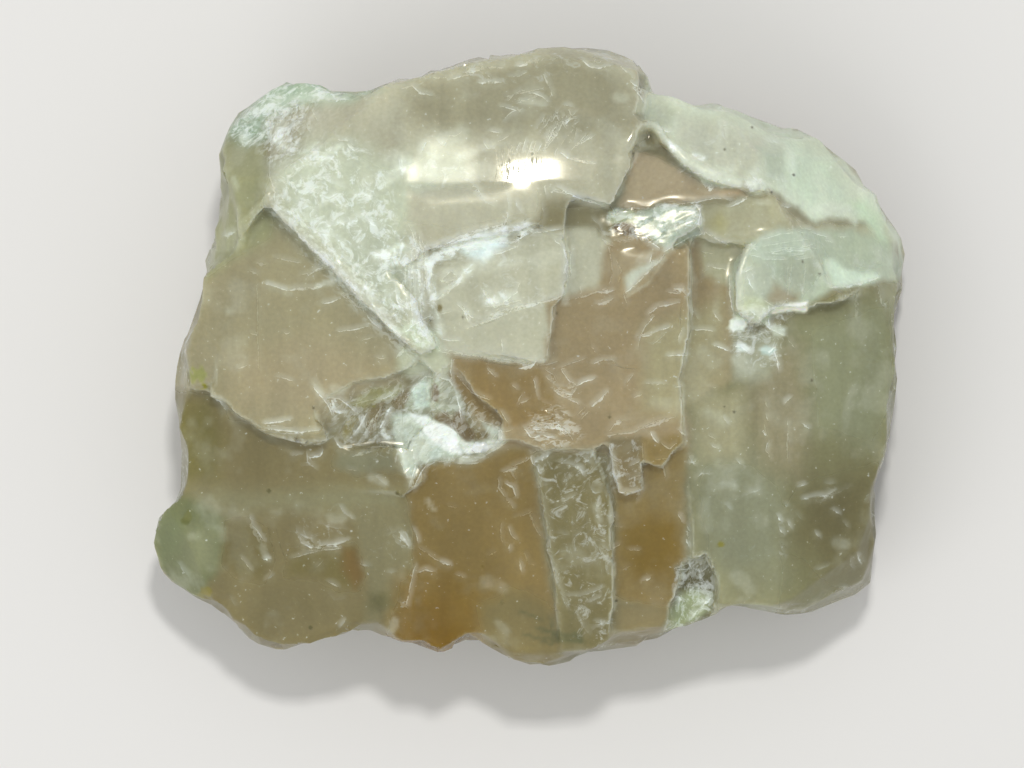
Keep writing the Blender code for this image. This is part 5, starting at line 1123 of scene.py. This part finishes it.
# where the skin is mottled with frost: how much of it, softness of the edge in mm, and the border in mm
frostPatches = {
    "plateLeft": (0.6, 3, (-25.5, 19.5), (-21, 21.5), (-17, 21.5), (-14, 18), (-13, 15), (-11, 12), (-9, 8),
        (-9, 1), (-12, 1), (-15, 4), (-21, 10), (-25.5, 15)),
    # plateSheen mottles the soft band left of the crest's highlight white: frost, and a painted sheen
    "plateSheen": (0.35, 4, (-14, 20.5), (-8, 20.5), (-3, 20.5), (-3, 17), (-8, 15.6), (-13, 16)),
    "corner": (0.65, 1.5, (-31, 22), (-27, 27), (-20, 29), (-15, 26.5), (-22, 24.5), (-23, 19), (-25.5, 19),
        (-26, 21.5), (-28.5, 20.5)),
    "topRim": (0.3, 1.5, (-14, 27), (-8, 29), (0, 30.4), (8, 30.5), (11, 28), (5, 27.6), (-5, 26),
        (-12, 25)),
    "scoop": (0.3, 2, (-20, -4), (-13, -4), (-8, -5), (-3, -7), (-4, -9.5), (-12, -12), (-20, -8)),
    "archFoot": (0.5, 2, (19.5, 5), (26, 5.4), (25, -1), (19.5, -2)),
    "archTop": (0.25, 2, (20, 9), (27, 12.5), (36, 10), (30, 7), (22, 4.5)),
    "right": (0.12, 5, (15.5, -5), (26, -4), (24, -20), (16, -20)),
    "slab": (0.38, 1.5, (0.5, -10), (7, -9.5), (8.2, -16), (8.2, -31), (4.5, -31), (2, -20)),
    "leftLow": (0.22, 1.5, (-24, -15.6), (-17.5, -14.5), (-11.5, -16), (-12, -21), (-17.5, -19.5),
        (-24, -20)),
    "middlePlate": (0.35, 3, (-7, 12), (0, 13), (2, 6), (-1, 3), (-6, 4)),
    "lobe": (0.2, 2, (11, 24), (20, 25), (33, 20), (36, 12), (26, 15), (16, 18)),
    "block": (0.45, 0.8, (7.5, -7.9), (10.9, -7.6), (10.9, -13), (9, -13.4), (8.2, -12.5)),
    "sparkBlock": (0.55, 0.8, (7, 14.2), (9, 14.8), (13.6, 15.3), (16.8, 15.2), (16.5, 12.8), (12, 10.8),
        (9, 12)),
    "cornerChip": (0.48, 1, (14.2, -20.6), (17.9, -20.4), (18, -25), (13, -28)),
}

# dirt and small inclusions: colour, radius in mm and place in mm
specks = [
    ("#8a8a1c", 0.26, -32.3, -2.8), ("#8a8f52", 0.9, -33, -1.6), ("#5f6330", 0.45, -34.3, -16.2),
    ("#6f7140", 0.5, -34, -15.6), ("#6c6a22", 0.2, -12.9, -2.8), ("#75732c", 0.22, -15.5, -4.7),
    ("#55552a", 0.12, -1.2, 11.8), ("#5b5b2c", 0.12, -0.6, 13.4), ("#7f7a1e", 0.3, 18.7, -18.3),
    ("#4c4638", 0.13, 27.7, -2.2), ("#4c4638", 0.09, 28.4, 8.3), ("#4c4638", 0.08, 26.7, 9.5),
    ("#4c4638", 0.1, 20, -5.3), ("#4c4638", 0.08, 19, -4.8), ("#575036", 0.15, 2.5, 4.4),
    ("#4f4a30", 0.13, 7.7, -5.8), ("#4a4434", 0.12, -21.4, -4.9), ("#3f3d30", 0.12, 25.9, 18.1),
    ("#2f2e26", 0.13, 23.6, 16.3), ("#55503a", 0.09, 21.8, 22.8), ("#6a664c", 0.09, 19, 20.5),
    ("#55522e", 0.16, -25.9, -13.1), ("#5c5628", 0.18, -13.2, -13.3), ("#5c5628", 0.12, -12.8, -13.5),
    ("#5f5120", 0.18, -4.8, -20.6), ("#5a4a22", 0.14, -5.8, -23.2), ("#6d6440", 0.2, -2.9, -24.2),
    ("#565334", 0.16, -21.9, -26.7), ("#837c3e", 0.6, -32.4, -23.2), ("#6f6332", 0.35, -9, 4.9),
    ("#5a5640", 0.12, -9.9, 3.7), ("#5a5640", 0.14, -6.7, 4), ("#55513c", 0.14, 8.4, -24),
    ("#4e4a36", 0.12, 10, 20),
]

# a tuft of dark green needles that is sealed in the foot of the stone: places in mm
needleLook = {"tone": "#666a48", "width": 0.07, "soft": 0.2, "amount": 0.6}
needles = [
    [(0.9, -26.9), (2.4, -27.3), (4.8, -27.6)], [(1.2, -27.6), (3, -27.7), (5, -28)],
    [(-0.9, -27.2), (0.6, -27.7), (2, -28.3)], [(2, -28), (3.4, -27.9), (5, -27.9)],
    [(4.2, -26.9), (4.6, -27.6), (5.1, -28)], [(-1.2, -25), (0, -25.4), (1, -25.9)],
    [(1.9, -25.6), (2, -26.6)], [(0.4, -26.6), (1.6, -26.9), (2.6, -27.6)], [(4.9, -27), (5, -28)],
    [(2.2, -27), (3.6, -27.3), (4.6, -27.3)],
]


def layTone(colour, share, tone):
    # lays a tone over the colours of all points, as strongly as each point's share says
    colour += share[:, None] * (np.array(hexToLinear(tone)[:3]) - colour)


def layZones(flat, top):
    # colour, milkiness and roughness of the zones
    count = len(flat)
    colour = np.tile(np.array(hexToLinear(stoneTones["edge"])[:3]), (count, 1))
    milk = np.full(count, 0.5)
    rough = np.full(count, 0.3)
    for tone, milky, roughness, soft, *border in quartzZones.values():
        share = ease(insideOf(flat, border) / soft + 0.5) * top
        layTone(colour, share, tone)
        milk += share * (milky - milk)
        rough += share * (roughness - rough)
    return colour, milk, rough


def layClouds(points, colour, milk, top):
    # clouds, upright veils, and the haze of hidden cracks in the milky body
    shade = 1 + stoneTones["cloud"] * (2 - top) * cloudNoise(points, 7.0, 91, 2)
    shade *= 1 + stoneTones["veil"] * cloudNoise(points / (1.1, 8.0, 3.0), 1.0, 94, 2)
    shade *= 1 + stoneTones["streak"] * cloudNoise(points / (0.55, 3.2, 3.0), 1.0, 111, 2)
    colour *= shade[:, None]
    haze = stoneTones["haze"] * ease(cloudNoise(points, 3.2, 97, 4) / 0.9) * (0.2 + 0.8 * milk)
    layTone(colour, haze, stoneTones["hazy"])


def ledgeWalls(points, normals):
    # 0 to 1: how pale the steep little walls of the ledges are painted: partly frost, and partly painted
    #         light that lifts the shade on walls facing away from the key lamp, most of all on those facing
    #         away from the fill lamp too
    wall = inwardShare(points) * ease((0.92 - normals[:, 2]) / 0.30) * ease((0.35 - normals[:, 1]) / 0.3)
    wall *= stoneTones["ledgeFrostAndLight"] * (0.8 + 0.4 * softNoise(points, 1.5, 83))
    return wall * (0.7 + 0.7 * ease(2 * normals[:, 0]))


def drawMarks(points, flat):
    # the soft patches as bright and dark shares, and the crisp threads as distances from their middle
    count = len(points)
    glow = np.zeros(count)
    dusk = np.zeros(count)
    gap = np.full(count, markLook["threadReach"])
    thread = np.tile(markLook["noThread"], (count, 1))
    mottle = 0.75 + 0.25 * softNoise(points, 0.7, 81)
    for marks in whiteMarks.values():
        for strength, width, *line in marks:
            near = nearBox(points, line, markLook["boxReach"] + width)
            if width >= hairWidth:
                distance = nearLine(flat[near], line)[0]
                fade = ease((markLook["patchReach"] * width - distance) / width)
                soft = markLook["patch"] * abs(strength) * fade * mottle[near]
                layer = glow if strength > 0 else dusk
                layer[near] = 1 - (1 - layer[near]) * (1 - soft)
            else:
                swing = np.sin(np.dot(markLook["threadTurn"], line[0]))
                strength *= markLook["threadMean"] + markLook["threadSwing"] * swing
                distance, signed, share = nearLine(points[near, :2], line)
                taper = markLook["taper"] * width * (0.5 + 0.5 * np.sin(np.pi * share))
                fade = ease((markLook["haloReach"] + width - distance) / markLook["haloFade"])
                halo = markLook["halo"] * max(strength, 0) * fade * mottle[near]
                glow[near] = np.maximum(glow[near], halo)
                closer = distance - taper < gap[near]
                chosen = near[closer]
                gap[chosen] = (distance - taper)[closer]
                strengths = np.full(len(near), strength)
                thread[chosen] = np.column_stack([signed, taper, strengths, distance])[closer]
    return glow, dusk, thread


def layDirt(points, colour, milk, top):
    specked = 1 + 0.5 * softNoise(points, 0.5, 85)
    for tone, radius, x, y in specks:
        away = np.hypot(points[:, 0] - x, points[:, 1] - y)
        share = ease((radius * specked + 0.1 - away) / (0.1 + 0.5 * radius)) * top
        layTone(colour, stoneTones["speckDepth"] * share, tone)
        milk += share * (stoneTones["speckMilk"] - milk)
    bare = np.ones(len(points))
    for line in needles:
        near = nearBox(points, line, 1.0)
        distance = nearLine(points[near, :2], line)[0]
        share = needleLook["amount"] * ease((needleLook["width"] + needleLook["soft"] - distance) / 0.25)
        bare[near] *= 1 - share * top[near]
    layTone(colour, 1 - bare, needleLook["tone"])


def frostShare(points, flat, normals, top, wall, glow):
    # 0 to 1: how mottled with frost the skin is: in the patches, on the ledge walls (where the mottle adds to
    #         their painted light), in the marks and at the sides
    frosty = np.zeros(len(points))
    for amount, soft, *border in frostPatches.values():
        frosty = np.maximum(frosty, amount * ease(insideOf(flat, border) / soft + 0.5))
    frosty = np.maximum(frosty * top, frostLook["ledge"] * wall)
    marked = ease((glow - frostLook["markFrom"]) / frostLook["markOver"])
    frosty = np.maximum(frosty, frostLook["mark"] * marked)
    aside = ease((0.45 - normals[:, 2]) / 0.3) * ease((points[:, 2] - 0.5) / 1.5)
    return np.maximum(frosty, frostLook["side"] * aside * ease(0.5 + cloudNoise(points, 5.0, 121, 3)))


def keepAttribute(piece, name, kind, field, values):
    made = piece.data.attributes.new(name, kind, "POINT")
    made.data.foreach_set(field, values.ravel())


def paintStone(piece):
    points = pointsOf(piece)
    normals = normalsOf(piece)
    flat = points[:, :2].copy()
    for way, salt in ((0, 71), (1, 73)):
        flat[:, way] += stoneTones["ragged"] * softNoise(points, 1.6, salt)
        flat[:, way] += stoneTones["raggedFine"] * softNoise(points, 0.6, salt + 1)
    top = ease((normals[:, 2] + 0.5) / 0.6)
    colour, milk, rough = layZones(flat, top)
    layClouds(points, colour, milk, top)
    wall = ledgeWalls(points, normals)
    # painted light: the ledge walls take on the pale ledge tone, partly as frost and partly to lift their
    # shade
    layTone(colour, wall, stoneTones["ledge"])
    milk += wall * (0.8 - milk)
    glow, dusk, thread = drawMarks(points, flat)
    glow *= top
    # the white marks are frosted cracks, and in places painted highlights and painted light over shaded
    # ledges
    layTone(colour, glow, stoneTones["frostAndGlint"])
    layTone(colour, stoneTones["slitDepth"] * dusk * top, stoneTones["slit"])
    milk += glow * (markLook["patchMilk"] - milk)
    layDirt(points, colour, milk, top)
    thread[:, 2] *= top * markLook["thread"]
    crushed, angle = crushedShare(points)
    frosty = frostShare(points, flat, normals, top, wall, glow)
    opaque = np.ones(len(points))
    finish = np.column_stack([milk, rough, crushed * top, frosty])
    keepAttribute(piece, "tint", "FLOAT_COLOR", "color", np.column_stack([colour, opaque]))
    keepAttribute(piece, "finish", "FLOAT_COLOR", "color", finish)
    keepAttribute(piece, "thread", "FLOAT_COLOR", "color", thread)
    keepAttribute(piece, "flow", "FLOAT_VECTOR", "vector", slivers(points, angle, 1.0, 0.55))


def addNode(tree, kind, settings=None, inputs=None):
    # a node with its settings; each input gets a value, or a link from a socket or from a node's first output
    node = tree.nodes.new(kind)
    for key, value in (settings or {}).items():
        setattr(node, key, value)
    for key, value in (inputs or {}).items():
        if isinstance(value, bpy.types.Node):
            value = value.outputs[0]
        if isinstance(value, bpy.types.NodeSocket):
            tree.links.new(value, node.inputs[key])
        else:
            node.inputs[key].default_value = value
    return node


smooth = {"interpolation_type": "SMOOTHSTEP"}
times = {"operation": "MULTIPLY"}
timesAdd = {"operation": "MULTIPLY_ADD"}

# sizes in mm
quartzLook = {
    "mottle": 1.5, "grain": 0.40,
    "threadBend": 0.40, "threadRoughness": 0.9, "dotAmount": 0.45,
    # sliverShade is the painted shade of crushed slivers, and frostAndGlint the white of frost and of painted
    # glints
    "frostAndGlint": "#eef5ef", "sliverShade": "#7d775c", "slit": "#4a4430", "glint": "#fbf4dc",
    "scatter": 0.7, "scatterDepth": 5.0, "scatterReach": (1.0, 0.85, 0.6),
    "clearest": 0.5, "milkOpaque": 0.8,
    "depth": "#e0b49c", "density": 14.0,
}


def frostedTone(tree, grain, cloudy, frosty):
    # the painted tone with fine grain, tiny bright dots, and white mottling where the skin is frosty
    tint = addNode(tree, "ShaderNodeAttribute", {"attribute_name": "tint"})
    grainShade = addNode(tree, "ShaderNodeMapRange", None,
                         {"Value": grain, "From Min": 0.3, "From Max": 0.7, "To Min": 0.94, "To Max": 1.06})
    body = addNode(tree, "ShaderNodeVectorMath", {"operation": "SCALE"}, {0: tint, "Scale": grainShade})
    dot = addNode(tree, "ShaderNodeMapRange", smooth,
                  {"Value": grain, "From Min": 0.70, "From Max": 0.76, "To Min": 0.0,
                   "To Max": quartzLook["dotAmount"]})
    white = hexToLinear(quartzLook["frostAndGlint"])
    body = addNode(tree, "ShaderNodeMixRGB", None, {"Fac": dot, "Color1": body, "Color2": white})
    mottle = addNode(tree, "ShaderNodeMath", timesAdd, {0: frosty, 1: 0.22, 2: cloudy})
    mottle = addNode(tree, "ShaderNodeMapRange", smooth,
                     {"Value": mottle, "From Min": 0.60, "From Max": 0.74, "To Min": 0.0, "To Max": 1.0})
    mottle = addNode(tree, "ShaderNodeMath", times, {0: mottle, 1: frosty})
    return addNode(tree, "ShaderNodeMixRGB", None, {"Fac": mottle, "Color1": body, "Color2": white})


def crushedTone(tree, body, crushed):
    # slivers of the crushed patches, in painted light: some are painted white like frost that catches the
    # light, and some painted dark as if in shade
    flow = addNode(tree, "ShaderNodeAttribute", {"attribute_name": "flow"}).outputs["Vector"]
    wander = addNode(tree, "ShaderNodeTexNoise", None, {"Vector": flow, "Scale": 0.9, "Detail": 3.0})
    bent = addNode(tree, "ShaderNodeVectorMath", timesAdd,
                   {0: wander.outputs["Color"], 1: (1.1, 1.1, 1.1), 2: flow})
    light = wander
    for scale in (2.3, 0.9):
        chips = addNode(tree, "ShaderNodeTexVoronoi", None, {"Vector": bent, "Scale": scale})
        chipLight = addNode(tree, "ShaderNodeSeparateColor", None, {"Color": chips.outputs["Color"]})
        light = addNode(tree, "ShaderNodeMath", timesAdd, {0: chipLight, 1: 0.6, 2: light})
    lit = addNode(tree, "ShaderNodeMapRange", smooth,
                  {"Value": light, "From Min": 1.12, "From Max": 1.42, "To Min": 0.0, "To Max": 1.0})
    unlit = addNode(tree, "ShaderNodeMapRange", smooth,
                    {"Value": light, "From Min": 0.82, "From Max": 1.05, "To Min": 0.6, "To Max": 0.0})
    frostAndGlint = addNode(tree, "ShaderNodeMath", times, {0: lit, 1: crushed})
    sliverShade = addNode(tree, "ShaderNodeMath", times, {0: unlit, 1: crushed})
    shadedSlivers = addNode(tree, "ShaderNodeMixRGB", None,
                     {"Fac": sliverShade, "Color1": body, "Color2": hexToLinear(quartzLook["sliverShade"])})
    frosted = addNode(tree, "ShaderNodeMixRGB", None,
                      {"Fac": frostAndGlint, "Color1": shadedSlivers, "Color2": hexToLinear(quartzLook["frostAndGlint"])})
    return frosted, frostAndGlint


def threadShares(tree, grain, cloudy):
    # the thread attribute holds the signed distance from the middle, the half width, the strength and the
    # distance
    thread = addNode(tree, "ShaderNodeAttribute", {"attribute_name": "thread"})
    aside, halfWidth, strength = addNode(tree, "ShaderNodeSeparateColor", None, {"Color": thread}).outputs[:3]
    ragged = addNode(tree, "ShaderNodeMapRange", None,
                     {"Value": grain, "From Min": 0.3, "From Max": 0.7, "To Min": 0.40, "To Max": 1.5})
    reach = addNode(tree, "ShaderNodeMath", times, {0: halfWidth, 1: ragged})
    bend = addNode(tree, "ShaderNodeMath", {"operation": "SUBTRACT"}, {0: cloudy, 1: 0.5})
    away = addNode(tree, "ShaderNodeMath", timesAdd, {0: bend, 1: quartzLook["threadBend"], 2: aside})
    away = addNode(tree, "ShaderNodeMath", {"operation": "ABSOLUTE"}, {0: away})
    away = addNode(tree, "ShaderNodeMath", {"operation": "DIVIDE"}, {0: away, 1: reach})
    core = addNode(tree, "ShaderNodeMapRange", smooth,
                   {"Value": away, "From Min": 0.6, "From Max": 1.1, "To Min": 1.0, "To Max": 0.0})
    beyond = addNode(tree, "ShaderNodeMath", {"operation": "SUBTRACT"},
                     {0: thread.outputs["Alpha"], 1: halfWidth})
    ends = addNode(tree, "ShaderNodeMapRange", smooth,
                   {"Value": beyond, "From Min": 0.12, "From Max": 0.26, "To Min": 1.0, "To Max": 0.0})
    broken = addNode(tree, "ShaderNodeMapRange", None,
                     {"Value": cloudy, "From Min": 0.40, "From Max": 0.58, "To Min": 0.10, "To Max": 1.0})
    drawn = addNode(tree, "ShaderNodeMath", times, {0: core, 1: ends})
    drawn = addNode(tree, "ShaderNodeMath", times, {0: drawn, 1: broken})
    clamped = {"operation": "MULTIPLY", "use_clamp": True}
    bright = addNode(tree, "ShaderNodeMath", clamped, {0: drawn, 1: strength})
    against = addNode(tree, "ShaderNodeMath", times, {0: strength, 1: -1.0})
    dark = addNode(tree, "ShaderNodeMath", clamped, {0: drawn, 1: against})

    # a crack is also painted a little lighter on one side of it: a painted shine
    leeward = addNode(tree, "ShaderNodeMapRange", smooth,
                      {"Value": aside, "From Min": -0.05, "From Max": 0.10, "To Min": 0.0, "To Max": 1.0})
    fading = addNode(tree, "ShaderNodeMapRange", None,
                     {"Value": beyond, "From Min": 0.0, "From Max": 0.55, "To Min": 0.35, "To Max": 0.0})
    feather = addNode(tree, "ShaderNodeMath", times, {0: leeward, 1: fading})
    feather = addNode(tree, "ShaderNodeMath", clamped, {0: feather, 1: strength})
    shine = addNode(tree, "ShaderNodeMath", {"operation": "MAXIMUM"}, {0: bright, 1: feather})
    return shine, dark, drawn


def quartzMaterial():
    # rose quartz, broken by hand: glassy breaks over a milky, partly clear body, frosted white where crushed
    material = bpy.data.materials.new("rose quartz, broken")
    material.use_nodes = True
    tree = material.node_tree
    shader = tree.nodes["Principled BSDF"]
    shader.inputs["IOR"].default_value = 1.544
    shader.inputs["Metallic"].default_value = 0
    shader.inputs["Specular Tint"].default_value = hexToLinear(quartzLook["glint"])
    shader.inputs["Subsurface Weight"].default_value = quartzLook["scatter"]
    shader.inputs["Subsurface Radius"].default_value = quartzLook["scatterReach"]
    shader.inputs["Subsurface Scale"].default_value = quartzLook["scatterDepth"] * mm

    where = addNode(tree, "ShaderNodeTexCoord").outputs["Object"]
    finish = addNode(tree, "ShaderNodeAttribute", {"attribute_name": "finish"})
    milk, rough, crushed = addNode(tree, "ShaderNodeSeparateColor", None, {"Color": finish}).outputs[:3]
    grain = addNode(tree, "ShaderNodeTexNoise", None,
                    {"Vector": where, "Scale": 1 / (quartzLook["grain"] * mm), "Detail": 2.0})
    cloudy = addNode(tree, "ShaderNodeTexNoise", None,
                     {"Vector": where, "Scale": 1 / (quartzLook["mottle"] * mm), "Detail": 5.0,
                      "Roughness": 0.72, "Distortion": 0.9})
    body = frostedTone(tree, grain, cloudy, finish.outputs["Alpha"])
    frosted, frostAndGlint = crushedTone(tree, body, crushed)
    shine, dark, drawn = threadShares(tree, grain, cloudy)
    threaded = addNode(tree, "ShaderNodeMixRGB", None,
                       {"Fac": shine, "Color1": frosted, "Color2": hexToLinear(quartzLook["frostAndGlint"])})
    slit = addNode(tree, "ShaderNodeMixRGB", None,
                   {"Fac": dark, "Color1": threaded, "Color2": hexToLinear(quartzLook["slit"])})
    tree.links.new(slit.outputs["Color"], shader.inputs["Base Color"])

    # milky, frosted and marked places are not see-through
    clear = addNode(tree, "ShaderNodeMapRange", None,
                    {"Value": milk, "From Min": 0.0, "From Max": quartzLook["milkOpaque"],
                     "To Min": quartzLook["clearest"], "To Max": 0.0})
    whole = addNode(tree, "ShaderNodeMath", {"operation": "MAXIMUM"}, {0: shine, 1: frostAndGlint})
    unmarked = addNode(tree, "ShaderNodeMath", {"operation": "SUBTRACT", "use_clamp": True},
                       {0: 1.0, 1: whole})
    clear = addNode(tree, "ShaderNodeMath", times, {0: clear, 1: unmarked})
    tree.links.new(clear.outputs["Value"], shader.inputs["Transmission Weight"])
    rougher = addNode(tree, "ShaderNodeMath", times, {0: drawn, 1: quartzLook["threadRoughness"]})
    rougher = addNode(tree, "ShaderNodeMath", {"operation": "MAXIMUM"}, {0: rough, 1: rougher})
    tree.links.new(rougher.outputs["Value"], shader.inputs["Roughness"])
    inside = addNode(tree, "ShaderNodeVolumeAbsorption", None,
                     {"Color": hexToLinear(quartzLook["depth"]), "Density": quartzLook["density"]})
    tree.links.new(inside.outputs["Volume"], tree.nodes["Material Output"].inputs["Volume"])
    return material


stone = makeStone()
paintStone(stone)
stone.data.materials.append(quartzMaterial())
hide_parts("rose_quartz")
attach(stone, "root")
print("stone made")


# metres and watts
studio = {
    "floorSize": 6.0, "floorColour": "#dcdad6", "floorRoughness": 0.85,
    "key": 1.75, "keySize": 0.05, "keyAt": (0.02, 0.21, 0.64),
    "fill": 1.1, "fillSize": 0.5, "fillAt": (-0.30, -0.32, 0.50),
    "sky": "#f4f6f8", "skyStrength": 0.68,
}

# straight above the stone, far enough that it is seen nearly without perspective
view = {
    "middle": (-0.0019, -0.00255), "height": 0.80, "sharpAt": 0.012,
    "width": 0.1024,  # what it takes in from left to right
    "sensor": 36,
}


def makeFloor():
    bpy.ops.object.select_all(action="DESELECT")
    bpy.ops.mesh.primitive_plane_add(size=studio["floorSize"], location=(0, 0, 0))
    floor = bpy.context.active_object
    floor.name = "studio_floor"
    material = bpy.data.materials.new("pale paper sweep")
    material.use_nodes = True
    shader = material.node_tree.nodes["Principled BSDF"]
    shader.inputs["Base Color"].default_value = hexToLinear(studio["floorColour"])
    shader.inputs["Roughness"].default_value = studio["floorRoughness"]
    floor.data.materials.append(material)


def makeLamp(name, size, power, place):
    bpy.ops.object.select_all(action="DESELECT")
    bpy.ops.object.light_add(type="AREA", location=place)
    lamp = bpy.context.active_object
    lamp.name = name
    lamp.data.size = size
    lamp.data.energy = power
    aim = -lamp.location
    lamp.rotation_euler = aim.to_track_quat("-Z", "Y").to_euler()
    return lamp


def makeSky():
    world = bpy.data.worlds.new("studio")
    world.use_nodes = True
    background = world.node_tree.nodes["Background"]
    background.inputs["Color"].default_value = hexToLinear(studio["sky"])
    background.inputs["Strength"].default_value = studio["skyStrength"]
    scene.world = world
    scene.view_settings.view_transform = "Standard"


def makeCamera():
    bpy.ops.object.camera_add(location=(*view["middle"], view["height"]), rotation=(0, 0, 0))
    camera = bpy.context.active_object
    camera.data.sensor_width = view["sensor"]
    camera.data.lens = view["sensor"] * (view["height"] - view["sharpAt"]) / view["width"]
    scene.camera = camera


makeFloor()
makeLamp("key", studio["keySize"], studio["key"], studio["keyAt"])
fill = makeLamp("fill", studio["fillSize"], studio["fill"], studio["fillAt"])
fill.visible_glossy = False  # it only softens the shadows, and leaves no glare on the breaks
makeSky()
makeCamera()
print("studio made")
